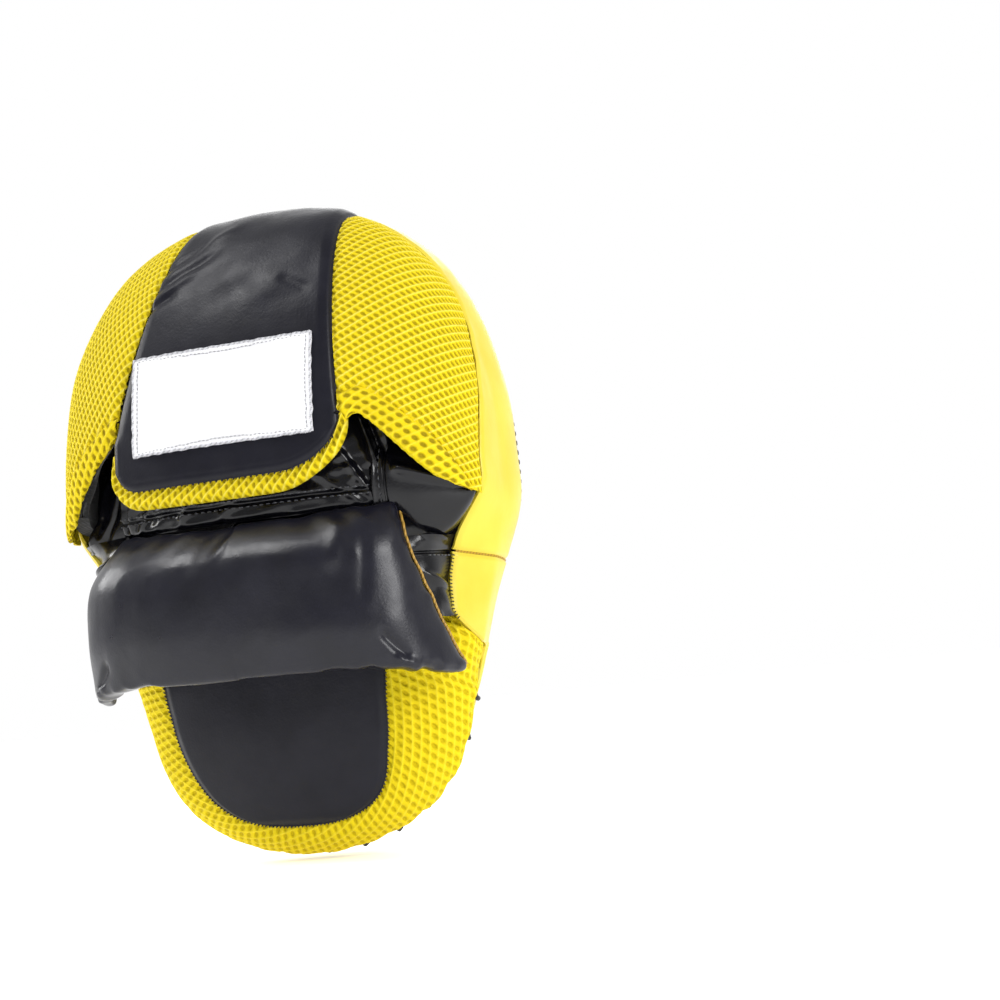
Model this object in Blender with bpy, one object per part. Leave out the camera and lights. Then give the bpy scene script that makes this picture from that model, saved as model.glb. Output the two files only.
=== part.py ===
"""Left-hand boxing focus mitt: padded strike face, laced gusset, mesh hood, inner glove and wrist cuff.

+Z runs to the fingertips, the strike face looks along -Y, the hand lies on the +Y side
and the thumb is at -X. The origin lies on the palm lining, under the middle of the palm.
"""

import math

import bmesh
import bpy
import numpy as np

# Outline of the pad: (half width, height above and depth below its centre, centre, power) of two ovals.
FACE_HEAD = (0.092, 0.120, 0.040, 0.015, 2.5)
FACE_TAIL = (0.044, 0.0505, 0.0505, -0.0695, 2.0)
BACK_HEAD = (0.097, 0.126, 0.050, 0.015, 2.5)
BACK_TAIL = (0.077, 0.074, 0.074, -0.060, 2.25)
HULL_STEPS = 240
HALF_RING = 18

# Depths through the pad, along Y.
FACE_Y = -0.0455
FACE_SEAM_Y = -0.0365
BACK_Y = -0.0015
FACE_EDGE = ((0.0, 0.0), (0.0008, 0.0036), (0.0030, 0.0066), (0.0070, 0.0084), (0.0130, 0.0090))
SKIN = 0.0012
GAP = 0.0003
GUSSET_BULGE = 0.0035
STRIKE_FOAM_TOP_Y = -0.0300
CORE_FOAM_TOP_Y = -0.0170
FOAM_INSET = 0.0030
LACED_INSET = 0.0085

# Where the side wall divides.
SHOULDER_Z = -0.018
LACE_TOP_Z = -0.063
WALL_RISE = 0.0195
WALL_LOW_Z = 0.100
WALL_HIGH_Z = 0.015
WALL_END_Z = -0.040
WALL_LACED_Z = -0.061
WALL_LEAN_IN = 0.0100
WALL_DOME_INSET = 0.0013
GUSSET_LACE_Y = -0.0120
PANEL_LACE_Y = -0.0070
LACE_RADIUS = 0.0009
LACE_STITCHES = 13
LACE_REACH = 0.0050
LACE_SWING = 0.0026
LACE_SINK = 0.0009
BACKING_DEPTH = 0.0056
BACKING_SKIN = 0.0010

# Palm and lower back.
PALM_INSET = 0.0100
PALM_END_Z = -0.0205
CUSHION_TOP_Z = -0.0205
CUSHION_FOAM_TOP_Z = -0.030
CUSHION_HEIGHT = 0.0215
CUSHION_ROUND = 0.060
CUSHION_POWER = 1.8
CUSHION_RISE_Z = -0.056
CUSHION_INSET = 0.0060
CUSHION_SHRINK = 0.0022
CUSHION_UNDER = 0.0021
CENTRE_HALF_WIDTH = 0.0500
CENTRE_TAPER = 0.10
CENTRE_ROUND_Z = -0.072
CENTRE_BOTTOM_Z = -0.1185
CENTRE_POWER = 2.6
TUCK_INSET = 0.0065

# Hood.
HOOD_HEIGHT = 0.060
HOOD_LONG_POWER = 2.1
HOOD_CROSS_POWER = 2.9
HOOD_RIM_Y = -0.0012
STRAP_LITTLE_ANGLE = math.radians(12.0)
STRAP_THUMB_ANGLE = math.radians(-20.5)
HOOD_END_ANGLE = math.radians(91.0)
STRAP_LIP_X = 0.0530
LIP_HIGH_Z = 0.045
LIP_LOW_Z = 0.013
LIP_END_X = 0.0895
STRAP_END_Z = 0.0345
MESH_THICK = 0.0020
HOOD_FOAM_THICK = 0.0050
FOAM_LIP_Z = 0.038
SEAM_HALF_GAP = 0.0002
TONGUE_TOP_Z = 0.0341
TONGUE_BOTTOM_Z = 0.0180
TONGUE_CORNER_LITTLE = 0.012
TONGUE_CORNER_THUMB = 0.026
TONGUE_MESH_MARGIN = 0.0050
TONGUE_MESH_SIDE = 0.0022
TONGUE_MESH_THICK = 0.0040
LABEL_HALF_WIDTH = 0.0425
LABEL_BOTTOM_Z = 0.0350
LABEL_TOP_Z = 0.0800
LABEL_THICK = 0.0010

# Inner glove.
COVER_HALF_WIDTH = 0.074
COVER_HEIGHT = 0.0460
COVER_POWER = 2.6
COVER_THUMB_X = -0.057
COVER_LITTLE_X = 0.066
COVER_TOP_Z = 0.056
COVER_BOTTOM_Z = 0.0075
POUCH_BASE = (-0.0605, 0.0150, 0.0140)
POUCH_TIP = (-0.0915, 0.0215, 0.0060)
POUCH_HALF_Y = 0.0120
POUCH_HALF_Z = 0.0145
SIDE_TOP_Z = -0.006
SIDE_BOTTOM_Z = -0.040
SIDE_BULGE = 0.0020
SIDE_OVERLAP = 0.0040
SIDE_TOP_X = (0.062, 0.068)
SIDE_TOP_Y = (0.0260, 0.0220)

# Cuff.
CUFF_TOP_Z = 0.0070
CUFF_BOTTOM_Z = -0.0650
CUFF_HALF_TOP = 0.074
CUFF_HALF_BOTTOM = 0.084
CUFF_POWER = 3.4
CUFF_SEAM_HEIGHT = 0.0480
CUFF_HEIGHT = 0.0655
CUFF_LIP_HEIGHT = 0.0625
CUFF_END_TOP = math.radians(36.0)
CUFF_END_BOTTOM = math.radians(7.0)
CUFF_FOAM_THIN = 0.0015
CUFF_FOAM_THICK = 0.0090
PIPING_RADIUS = 0.0007

CHARCOAL = (0.022, 0.022, 0.030)
GLOSS_BLACK = (0.010, 0.011, 0.013)
YELLOW = (0.98, 0.78, 0.06)
MESH_YELLOW = (0.90, 0.70, 0.01)
FOAM_GREY = (0.30, 0.30, 0.32)
WHITE = (0.92, 0.92, 0.93)
AMBER = (0.72, 0.40, 0.05)


def clear_scene():
    """Empties the start-up scene."""
    for obj in list(bpy.data.objects):
        bpy.data.objects.remove(obj, do_unlink=True)


def material(name, colour, roughness, metallic=0.0):
    """A plain surface of one colour."""
    made = bpy.data.materials.new(name)
    made.use_nodes = True
    shader = made.node_tree.nodes["Principled BSDF"]
    shader.inputs["Base Color"].default_value = (*colour, 1.0)
    shader.inputs["Roughness"].default_value = roughness
    shader.inputs["Metallic"].default_value = metallic
    made.diffuse_color = (*colour, 1.0)
    return made


def finish_piece(name, mesh, look):
    """The bmesh as one named object, closed and facing out."""
    bmesh.ops.remove_doubles(mesh, verts=mesh.verts, dist=1e-6)
    bmesh.ops.recalc_face_normals(mesh, faces=mesh.faces)
    data = bpy.data.meshes.new(name)
    mesh.to_mesh(data)
    mesh.free()
    data.materials.append(look)
    piece = bpy.data.objects.new(name, data)
    bpy.context.scene.collection.objects.link(piece)
    return piece


def grid_solid(name, outer, inner, look):
    """A closed sheet between two grids of points, joined round its edges."""
    rows, columns = outer.shape[:2]
    mesh = bmesh.new()
    top = [[mesh.verts.new(point) for point in row] for row in outer]
    under = [[mesh.verts.new(point) for point in row] for row in inner]
    for i in range(rows - 1):
        for j in range(columns - 1):
            mesh.faces.new((top[i][j], top[i + 1][j], top[i + 1][j + 1], top[i][j + 1]))
            mesh.faces.new((under[i][j], under[i][j + 1], under[i + 1][j + 1], under[i + 1][j]))
    border = [(0, j) for j in range(columns)]
    border += [(i, columns - 1) for i in range(1, rows)]
    border += [(rows - 1, j) for j in range(columns - 2, -1, -1)]
    border += [(i, 0) for i in range(rows - 2, 0, -1)]
    for k, (i, j) in enumerate(border):
        m, n = border[(k + 1) % len(border)]
        mesh.faces.new((top[i][j], top[m][n], under[m][n], under[i][j]))
    return finish_piece(name, mesh, look)


def ring_solid(name, rings, look):
    """A closed body through a stack of rings, its two ends capped."""
    mesh = bmesh.new()
    made = [[mesh.verts.new(point) for point in ring] for ring in rings]
    count = len(made[0])
    for first, second in zip(made, made[1:]):
        for k in range(count):
            n = (k + 1) % count
            mesh.faces.new((first[k], first[n], second[n], second[k]))
    mesh.faces.new(made[0][::-1])
    mesh.faces.new(made[-1])
    return finish_piece(name, mesh, look)


def tube(name, path, radius, sides, look):
    """A round cord along the path."""
    path = np.asarray(path)
    forward = np.gradient(path, axis=0)
    forward /= np.linalg.norm(forward, axis=1)[:, None]
    across = np.cross(forward[0], (0.31, 0.52, 0.79))
    rings = []
    for point, ahead in zip(path, forward):
        across = across - ahead * np.dot(across, ahead)
        across /= np.linalg.norm(across)
        side = np.cross(ahead, across)
        turns = [2 * math.pi * k / sides for k in range(sides)]
        rings.append([point + radius * (math.cos(a) * across + math.sin(a) * side) for a in turns])
    return ring_solid(name, rings, look)


def grid_normals(grid):
    """Unit normals of a grid of points, turned to face away from the pad."""
    normal = np.cross(np.gradient(grid, axis=0), np.gradient(grid, axis=1))
    normal /= np.linalg.norm(normal, axis=2)[:, :, None]
    return normal


def sink(grid, depth, away):
    """The grid moved inwards by depth; away is a point well inside, which says which way in is."""
    normal = grid_normals(grid)
    inward = np.asarray(away) - grid.mean(axis=(0, 1))
    middle = normal[grid.shape[0] // 2, grid.shape[1] // 2]
    turn = 1.0 if np.dot(middle, inward) > 0 else -1.0
    depth = np.broadcast_to(depth, grid.shape[:2])
    return grid + turn * normal * depth[:, :, None]


def oval_support(oval, normals):
    """For each direction, how far the oval reaches and the point where it does."""
    half_x, above, below, centre, power = oval
    half_z = np.where(normals[:, 1] > 0, above, below)
    dual = power / (power - 1)
    x = half_x * np.abs(normals[:, 0])
    z = half_z * np.abs(normals[:, 1])
    reach = (x**dual + z**dual) ** (1 / dual)
    points = np.stack(
        [
            np.sign(normals[:, 0]) * half_x * (x / reach) ** (dual - 1),
            np.sign(normals[:, 1]) * half_z * (z / reach) ** (dual - 1) + centre,
        ],
        axis=1,
    )
    return reach + centre * normals[:, 1], points


def half_outline(head, tail):
    """Right half of the hull of a head and a tail oval: points, normals and reaches."""
    angle = np.linspace(0, math.pi, HULL_STEPS)
    normals = np.stack([np.sin(angle), np.cos(angle)], axis=1)
    head_reach, head_points = oval_support(head, normals)
    tail_reach, tail_points = oval_support(tail, normals)
    upper = (head_reach >= tail_reach)[:, None]
    points = np.where(upper, head_points, tail_points)
    return points, normals, np.maximum(head_reach, tail_reach)


FACE_HALF = half_outline(FACE_HEAD, FACE_TAIL)
BACK_HALF = half_outline(BACK_HEAD, BACK_TAIL)


def half_at(half_curve, along):
    """Points and normals, as four columns, at shares of the way round one outline."""
    points, normals, _ = half_curve
    steps = np.linalg.norm(np.diff(points, axis=0), axis=1)
    share = np.concatenate([[0.0], np.cumsum(steps)]) / steps.sum()
    half = np.minimum(along, 1 - along) * 2
    side = np.where(along <= 0.5, 1.0, -1.0)
    found = [np.interp(half, share, column) for column in (*points.T, *normals.T)]
    return np.stack([found[0] * side, found[1], found[2] * side, found[3]], axis=-1)


def edge_at(lean, along):
    """Points and normals of the outline, (x, z); lean is 0 at the face and 1 at the back.

    along runs 0 to 1 from the top, little-finger side first.
    """
    along = np.asarray(along, float) % 1.0
    lean = np.clip(lean, 0.0, 1.0)
    lean = np.broadcast_to(lean, along.shape)[..., None]
    both = half_at(FACE_HALF, along) * (1 - lean) + half_at(BACK_HALF, along) * lean
    normal = both[..., 2:]
    return both[..., :2], normal / np.linalg.norm(normal, axis=-1)[..., None]


def along_at_height(z):
    """How far along the back outline it comes down to the height z on the little-finger side."""
    along = np.linspace(0, 0.5, HULL_STEPS)
    places, _ = edge_at(1.0, along)
    return float(np.interp(-z, -places[:, 1], along))


def lean_at(y):
    """How far from the face seam to the back seam the depth y lies."""
    return (y - FACE_SEAM_Y) / (BACK_Y - FACE_SEAM_Y)


def outline_ring(y, inset, lean=None):
    """A closed ring of the outline at the depth y."""
    along = np.arange(2 * HALF_RING) / (2 * HALF_RING)
    place, normal = edge_at(lean_at(y) if lean is None else lean, along)
    inset = np.broadcast_to(inset, along.shape)[:, None]
    place = place - normal * inset
    return np.stack([place[:, 0], np.full(len(place), y), place[:, 1]], axis=1)


def side_point(along, y):
    """A point on the outside of the side wall, which swells a little and leans in above the pad."""
    along = np.asarray(along, float)
    y = np.broadcast_to(np.asarray(y, float), along.shape)
    lean = np.clip(lean_at(y), 0.0, 1.0)
    place, normal = edge_at(lean, along)
    height = np.clip((y - BACK_Y) / WALL_RISE, 0.0, None)
    z = place[..., 1]
    low = smooth((WALL_HIGH_Z - z) / 0.033) * (1 - 0.5 * smooth((-0.025 - z) / 0.025))
    inset = WALL_DOME_INSET * height**HOOD_CROSS_POWER + WALL_LEAN_IN * height * low
    place = place + normal * (GUSSET_BULGE * np.sin(math.pi * lean) - inset)[..., None]
    return np.stack([place[..., 0], y, place[..., 1]], axis=-1)


def wall_edge_y(along, laced_y):
    """Depth of the side wall's rear edge: high beside the hand, down at the lacing round the tail."""
    place, _ = edge_at(1.0, along)
    z = place[..., 1]
    rise = WALL_RISE * smooth((WALL_LOW_Z - z) / (WALL_LOW_Z - WALL_HIGH_Z))
    fall = smooth((WALL_END_Z - z) / (WALL_END_Z - WALL_LACED_Z))
    high = BACK_Y - GAP + rise
    return high + (laced_y - high) * fall


def outward(along, y):
    """Unit normal of the side wall."""
    step = 5e-4
    up = side_point(along, y + step) - side_point(along, y - step)
    on = side_point(np.asarray(along) + step, y) - side_point(np.asarray(along) - step, y)
    normal = np.cross(up, on)
    normal /= np.linalg.norm(normal, axis=-1)[..., None]
    _, flat = edge_at(lean_at(y), along)
    turn = np.sign(normal[..., 0] * flat[..., 0] + normal[..., 2] * flat[..., 1])
    return normal * turn[..., None]


def side_band(name, along, low, high, rows, depth, look):
    """A strip of the side wall between two edges, from a depth below its outer surface."""
    top, bottom = depth
    steps = np.linspace(0, 1, rows)
    levels = [low + (high - low) * step + 0 * along for step in steps]
    grid = np.stack([side_point(along, y) for y in levels], axis=1)
    lift = np.stack([outward(along, y) for y in levels], axis=1)
    return grid_solid(name, grid - lift * top, grid - lift * bottom, look)


def edge_distance(x, z):
    """How far inside the back outline a point lies."""
    _, normals, reach = BACK_HALF
    inside = reach - np.abs(x)[..., None] * normals[:, 0] - z[..., None] * normals[:, 1]
    return inside.min(axis=-1)


def smooth(share):
    """A soft step from 0 to 1."""
    share = np.clip(share, 0.0, 1.0)
    return share * share * (3 - 2 * share)


def cushion_y(x, z, shrink=0.0):
    """Outer surface of the padded lower back; shrink draws its edge in."""
    near = np.clip((edge_distance(x, z) - shrink) / CUSHION_ROUND, 0.0, 1.0)
    swell = (1 - (1 - near) ** CUSHION_POWER) ** (1 / CUSHION_POWER)
    rise = smooth((CUSHION_TOP_Z - z) / (CUSHION_TOP_Z - CUSHION_RISE_Z))
    return BACK_Y + 0.0030 * smooth(near * 8) + CUSHION_HEIGHT * swell * rise


def hood_y(x, z):
    """Outer surface of the hood, a dome with steep sides that opens downwards."""
    half_x, above, below, centre, power = BACK_HEAD
    share = np.clip(np.abs(z - centre) / np.where(z > centre, above, below), 0.0, 1.0)
    width = half_x * np.clip(1 - share**power, 1e-9, 1.0) ** (1 / power)
    height = np.clip(1 - share**HOOD_LONG_POWER, 0.0, 1.0) ** (1 / HOOD_LONG_POWER)
    across = np.clip(1 - (np.abs(x) / width) ** HOOD_CROSS_POWER, 0.0, 1.0) ** (1 / HOOD_CROSS_POWER)
    return HOOD_RIM_Y + HOOD_HEIGHT * height * across


def head_rim(angle):
    """The back outline's head at an angle from the top."""
    half_x, above, below, centre, power = BACK_HEAD
    x = np.sin(angle)
    z = np.cos(angle)
    half_z = np.where(z > 0, above, below)
    size = ((np.abs(x) / half_x) ** power + (np.abs(z) / half_z) ** power) ** (-1 / power)
    return np.stack([x * size, z * size + centre], axis=-1)


def hood_patch(angles, lip, rows, start_y=None):
    """Outer grid of a piece of the hood, from the rim or the height start_y at these angles to the lip."""
    rim = head_rim(angles)
    fine = np.linspace(0, 1, 400) ** 2
    start = np.zeros(len(angles))
    if start_y is not None:
        for k, (edge, end) in enumerate(zip(rim, lip)):
            plan = edge[None, :] * (1 - fine[:, None]) + end[None, :] * fine[:, None]
            start[k] = np.interp(start_y[k], hood_y(plan[:, 0], plan[:, 1]), fine)
    steps = start[:, None] + (1 - start[:, None]) * np.linspace(0, 1, rows)[None, :] ** 1.8
    plan = rim[:, None, :] * (1 - steps[..., None]) + lip[:, None, :] * steps[..., None]
    x, z = plan[..., 0], plan[..., 1]
    return np.stack([x, hood_y(x, z), z], axis=-1)


def hood_layer(name, grid, top, bottom, look):
    """A layer of the hood between two depths below its outer surface."""
    middle = (0.0, 0.0, BACK_HEAD[3])
    outer = sink(grid, top, middle)
    inner = sink(grid, bottom, middle)
    outer[..., 1] = np.maximum(outer[..., 1], HOOD_RIM_Y)
    inner[..., 1] = np.maximum(inner[..., 1], HOOD_RIM_Y)
    return grid_solid(name, outer, inner, look)


def lip_z(x):
    """Height of the mesh's lip, which runs up from the pad's edge to the strap."""
    share = (np.abs(x) - STRAP_LIP_X) / (LIP_END_X - STRAP_LIP_X)
    return LIP_HIGH_Z + (LIP_LOW_Z - LIP_HIGH_Z) * np.clip(share, 0.0, 1.0) ** 1.15


def build_strike_face(looks):
    """The face's leather-like cover and the foam behind it."""
    outer = [outline_ring(FACE_SEAM_Y - drop, inset, 0.0) for inset, drop in FACE_EDGE]
    inner = [outline_ring(FACE_SEAM_Y - drop + (SKIN if drop else 0.0), inset + SKIN * (1 - drop / 0.009), 0.0)
             for inset, drop in FACE_EDGE]
    ring_solid("strike_cover", inner[::-1] + outer, looks["pu"])
    foam = [outline_ring(FACE_SEAM_Y - drop + SKIN + GAP + (0.0 if drop else 0.001), inset + 2 * SKIN, 0.0)
            for inset, drop in FACE_EDGE]
    back = outline_ring(STRIKE_FOAM_TOP_Y, FOAM_INSET)
    ring_solid("strike_foam", foam[::-1] + [back], looks["foam"])


def build_foam_layers(looks):
    """The two plain foam layers between the face and the hand."""
    core = (STRIKE_FOAM_TOP_Y + GAP, CORE_FOAM_TOP_Y)
    ring_solid("core_foam", [outline_ring(y, FOAM_INSET) for y in core], looks["foam"])
    along = np.arange(2 * HALF_RING) / (2 * HALF_RING)
    place, _ = edge_at(1.0, along)
    share = smooth((SHOULDER_Z - place[:, 1]) / 0.012 + 0.5)
    inset = FOAM_INSET + (LACED_INSET - FOAM_INSET) * share
    rear = (CORE_FOAM_TOP_Y + GAP, BACK_Y - GAP)
    ring_solid("rear_foam", [outline_ring(y, inset) for y in rear], looks["foam"])


def build_gussets(looks):
    """The smooth side wall: one strip round the head, one round the tail."""
    seam = along_at_height(SHOULDER_Z)
    gap = 0.0006
    low = FACE_SEAM_Y + GAP
    upper = np.linspace(seam - gap, -(seam - gap), 33)
    side_band("upper_gusset", upper, low, wall_edge_y(upper, GUSSET_LACE_Y), 7, (0.0, SKIN), looks["yellow"])
    lower = np.linspace(seam + gap, 1 - seam - gap, 35)
    side_band("lower_gusset", lower, low, wall_edge_y(lower, GUSSET_LACE_Y), 6, (0.0, SKIN), looks["yellow"])


def build_backing(looks):
    """The dark strip that shows behind the laced gap."""
    start = along_at_height(LACE_TOP_Z + 0.004)
    along = np.linspace(start, 1 - start, 25)
    depth = (BACKING_DEPTH, BACKING_DEPTH + BACKING_SKIN)
    side_band("lace_backing", along, GUSSET_LACE_Y - 0.003, PANEL_LACE_Y + 0.002, 3, depth, looks["gloss"])


def lace_path(steps):
    """The lace whips round both edges of the gap, stitch after stitch, from one shoulder to the other."""
    start = along_at_height(LACE_TOP_Z)
    margin = 0.012
    middle = (GUSSET_LACE_Y + PANEL_LACE_Y) / 2
    path = []
    for k in range(LACE_STITCHES * steps + 1):
        turn = 2 * math.pi * (k / steps - 0.25)
        along = start + margin + (1 - 2 * start - 2 * margin) * k / (LACE_STITCHES * steps)
        y = middle - LACE_REACH * math.cos(turn)
        height = LACE_SWING * math.sin(turn) - LACE_SINK
        path.append(side_point(along, y) + outward(along, y) * height)
    return np.array(path)


def cut_lace_holes(pieces, looks):
    """Holes for the lace, cut with a thicker copy of it."""
    cutter = tube("lace_hole_cutter", lace_path(10), LACE_RADIUS + 0.0005, 5, looks["lace"])
    cutter.hide_render = True
    cutter.display_type = "WIRE"
    for piece in pieces:
        cut = piece.modifiers.new("lace_holes", "BOOLEAN")
        cut.operation = "DIFFERENCE"
        cut.solver = "EXACT"
        cut.object = cutter


def build_lower_back(looks):
    """The padded lower back: mesh round a smooth centre panel, over the wrist cushion."""
    start = along_at_height(CUSHION_TOP_Z - 0.0005)
    along = np.linspace(start, 1 - start, 31)
    edge, normal = edge_at(1.0, along)
    tucked = smooth((edge[:, 1] - WALL_LACED_Z) / 0.008)
    inset = TUCK_INSET * tucked
    start_y = PANEL_LACE_Y + (BACK_Y + SKIN - PANEL_LACE_Y) * tucked
    flat = np.stack([normal[:, 0], 0 * inset, normal[:, 1]], axis=1) * inset[:, None]
    levels = (start_y, (start_y + BACK_Y + SKIN + 2 * GAP) / 2)
    rows = [side_point(along, y) - flat for y in levels]
    edge = edge - normal * inset[:, None]
    inner = centre_edge(np.linspace(0, 1, len(along)), 3 * GAP)
    for step in np.linspace(0, 1, 7) ** 1.6:
        plan = edge * (1 - step) + inner * step
        lift = cushion_y(plan[:, 0], plan[:, 1]) + 2 * GAP + SKIN * tucked
        rows.append(np.stack([plan[:, 0], lift, plan[:, 1]], axis=1))
    grid = np.stack(rows, axis=1)
    under = sink(grid, MESH_THICK * 0.7, (0.0, -0.02, -0.06))
    mesh_panel = grid_solid("rear_mesh_panel", grid, under, looks["mesh"])
    build_centre_panel(looks)
    build_wrist_cushion(looks)
    return mesh_panel


def centre_edge(share, margin):
    """Edge of the centre panel, a long tongue with a rounded end; share runs little side to thumb side."""
    straight = CUSHION_TOP_Z - CENTRE_ROUND_Z
    half_x = CENTRE_HALF_WIDTH + margin
    half_z = CENTRE_ROUND_Z - CENTRE_BOTTOM_Z + margin
    turn = np.linspace(0, math.pi, 181)
    x = half_x * np.sign(np.cos(turn)) * np.abs(np.cos(turn)) ** (2 / CENTRE_POWER)
    z = CENTRE_ROUND_Z - half_z * np.sin(turn) ** (2 / CENTRE_POWER)
    flare = half_x * (1 + CENTRE_TAPER)
    x = np.concatenate([[flare], x, [-flare]])
    z = np.concatenate([[CENTRE_ROUND_Z + straight], z, [CENTRE_ROUND_Z + straight]])
    length = np.concatenate([[0.0], np.cumsum(np.hypot(np.diff(x), np.diff(z)))])
    at = np.asarray(share) * length[-1]
    return np.stack([np.interp(at, length, x), np.interp(at, length, z)], axis=-1)


def build_centre_panel(looks):
    """The smooth dark panel down the middle of the lower back."""
    little = centre_edge(np.linspace(0, 0.485, 14), 0.0)
    across = np.linspace(1, -1, 9)
    x = little[:, 0][:, None] * across[None, :]
    z = np.broadcast_to(little[:, 1][:, None], x.shape)
    grid = np.stack([x, cushion_y(x, z), z], axis=-1)
    grid_solid("rear_centre_panel", grid, sink(grid, SKIN, (0.0, -0.05, -0.06)), looks["pu"])


def build_wrist_cushion(looks):
    """The foam that swells the lower back under the wrist."""
    start = along_at_height(CUSHION_FOAM_TOP_Z)
    edge, normal = edge_at(1.0, np.linspace(start, 0.485, 13))
    edge = edge - normal * (CUSHION_INSET + TUCK_INSET * smooth((edge[:, 1] - WALL_LACED_Z) / 0.008))[:, None]
    across = np.sin(np.linspace(math.pi / 2, -math.pi / 2, 13))
    x = edge[:, 0][:, None] * across[None, :]
    z = np.broadcast_to(edge[:, 1][:, None], x.shape)
    top = cushion_y(x, z, CUSHION_SHRINK) - CUSHION_UNDER
    base = BACK_Y + GAP / 2
    outer = np.stack([x, np.maximum(top, base + 0.0006), z], axis=-1)
    inner = np.stack([x, np.full(x.shape, base), z], axis=-1)
    grid_solid("wrist_cushion", outer, inner, looks["foam"])


def build_palm_lining(looks):
    """The flat lining that the palm and fingers press on."""
    end = along_at_height(PALM_END_Z)
    along = np.linspace(-end, end, 33)
    place, normal = edge_at(1.0, along)
    place = place - normal * PALM_INSET
    rings = [np.stack([place[:, 0], np.full(len(place), y), place[:, 1]], axis=1) for y in (BACK_Y + GAP, 0.0)]
    ring_solid("palm_lining", rings, looks["lining"])


def build_hood(looks):
    """Two mesh panels with the strap between them, over foam and a lining."""
    for name, side, first in (
        ("hood_mesh_little_side", 1.0, STRAP_LITTLE_ANGLE),
        ("hood_mesh_thumb_side", -1.0, -STRAP_THUMB_ANGLE),
    ):
        angles = np.linspace(first + 0.004, HOOD_END_ANGLE, 17) * side
        x = np.linspace(STRAP_LIP_X + 2 * SEAM_HALF_GAP, LIP_END_X, 17)
        lip = np.stack([x * side, lip_z(x)], axis=-1)
        start_y = HOOD_RIM_Y + GAP + WALL_RISE * smooth((WALL_LOW_Z - head_rim(angles)[:, 1]) / (WALL_LOW_Z - WALL_HIGH_Z))
        hood_layer(name, hood_patch(angles, lip, 9, start_y), 0.0, MESH_THICK, looks["mesh"])
    angles = np.linspace(STRAP_THUMB_ANGLE, STRAP_LITTLE_ANGLE, 9)
    x = np.linspace(-STRAP_LIP_X, STRAP_LIP_X, 9)
    lip = np.stack([x, np.full(9, STRAP_END_Z)], axis=-1)
    hood_layer("hood_strap", hood_patch(angles, lip, 11), 0.0, MESH_THICK, looks["pu"])
    angles = np.linspace(-HOOD_END_ANGLE, HOOD_END_ANGLE, 29) * 0.97
    x = np.linspace(-LIP_END_X, LIP_END_X, 29) * 0.97
    z = lip_z(x) + 0.003
    z = z + (FOAM_LIP_Z - z) * smooth((STRAP_LIP_X - 0.0005 - np.abs(x)) / 0.006)
    grid = hood_patch(angles, np.stack([x, z], axis=-1), 9)
    start = MESH_THICK + 4 * GAP
    hood_layer("hood_foam", grid, start, start + HOOD_FOAM_THICK, looks["foam"])
    start = start + HOOD_FOAM_THICK + GAP
    hood_layer("hood_lining", grid, start, start + SKIN, looks["lining"])


def tongue_grid(margin, bottom):
    """The free end of the strap, its corner larger on the thumb side, on the hood's outer surface."""
    half_width = STRAP_LIP_X + margin
    x = half_width * np.sin(np.linspace(-math.pi / 2, math.pi / 2, 19))
    corner = np.where(x < 0, TONGUE_CORNER_THUMB, TONGUE_CORNER_LITTLE)
    into = np.clip((np.abs(x) - (half_width - corner)) / corner, 0.0, 1.0)
    deep = np.minimum(corner, (TONGUE_TOP_Z - bottom) * 0.92)
    low = bottom + deep * (1 - np.sqrt(1 - into**2))
    step = np.linspace(0, 1, 4)
    z = TONGUE_TOP_Z + (low[:, None] - TONGUE_TOP_Z) * step[None, :]
    x = np.broadcast_to(x[:, None], z.shape)
    return np.stack([x, hood_y(x, z), z], axis=-1)


def build_tongue(looks):
    """The strap's free end, and the mesh that backs it and shows as its rim."""
    middle = (0.0, 0.0, TONGUE_TOP_Z)
    grid = tongue_grid(0.0, TONGUE_BOTTOM_Z)
    tongue = grid_solid("tongue", grid, sink(grid, MESH_THICK, middle), looks["pu"])
    grid = tongue_grid(TONGUE_MESH_SIDE, TONGUE_BOTTOM_Z - TONGUE_MESH_MARGIN)
    start = MESH_THICK + GAP
    under = sink(grid, start, middle)
    rim = grid_solid("tongue_mesh_rim", under, sink(grid, start + TONGUE_MESH_THICK, middle), looks["mesh"])
    return [tongue, rim]


def build_label(looks):
    """The blank woven patch sewn across the strap."""
    x = np.linspace(-LABEL_HALF_WIDTH, LABEL_HALF_WIDTH, 9)
    z = np.linspace(LABEL_TOP_Z, LABEL_BOTTOM_Z, 5)
    x, z = np.meshgrid(x, z, indexing="ij")
    grid = np.stack([x, hood_y(x, z), z], axis=-1)
    middle = (0.0, 0.0, LABEL_BOTTOM_Z)
    grid_solid("label_patch", sink(grid, -GAP - LABEL_THICK, middle), sink(grid, -GAP, middle), looks["label"])


def build_inner_glove(looks):
    """The glossy cover over the back of the hand, the thumb's pouch and the two side panels."""
    x = np.linspace(COVER_LITTLE_X, COVER_THUMB_X, 13)
    z = np.linspace(COVER_TOP_Z, COVER_BOTTOM_Z, 6)
    x, z = np.meshgrid(x, z, indexing="ij")
    arch = (1 - np.abs(x / COVER_HALF_WIDTH) ** COVER_POWER) ** (1 / COVER_POWER)
    grid = np.stack([x, COVER_HEIGHT * arch, z], axis=-1)
    grid_solid("hand_cover", grid, sink(grid, SKIN, (0.0, 0.0, 0.03)), looks["gloss"])
    build_thumb_pouch(looks)
    build_side_panel("side_panel_thumb", -1.0, looks)
    build_side_panel("side_panel_little", 1.0, looks)


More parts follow.
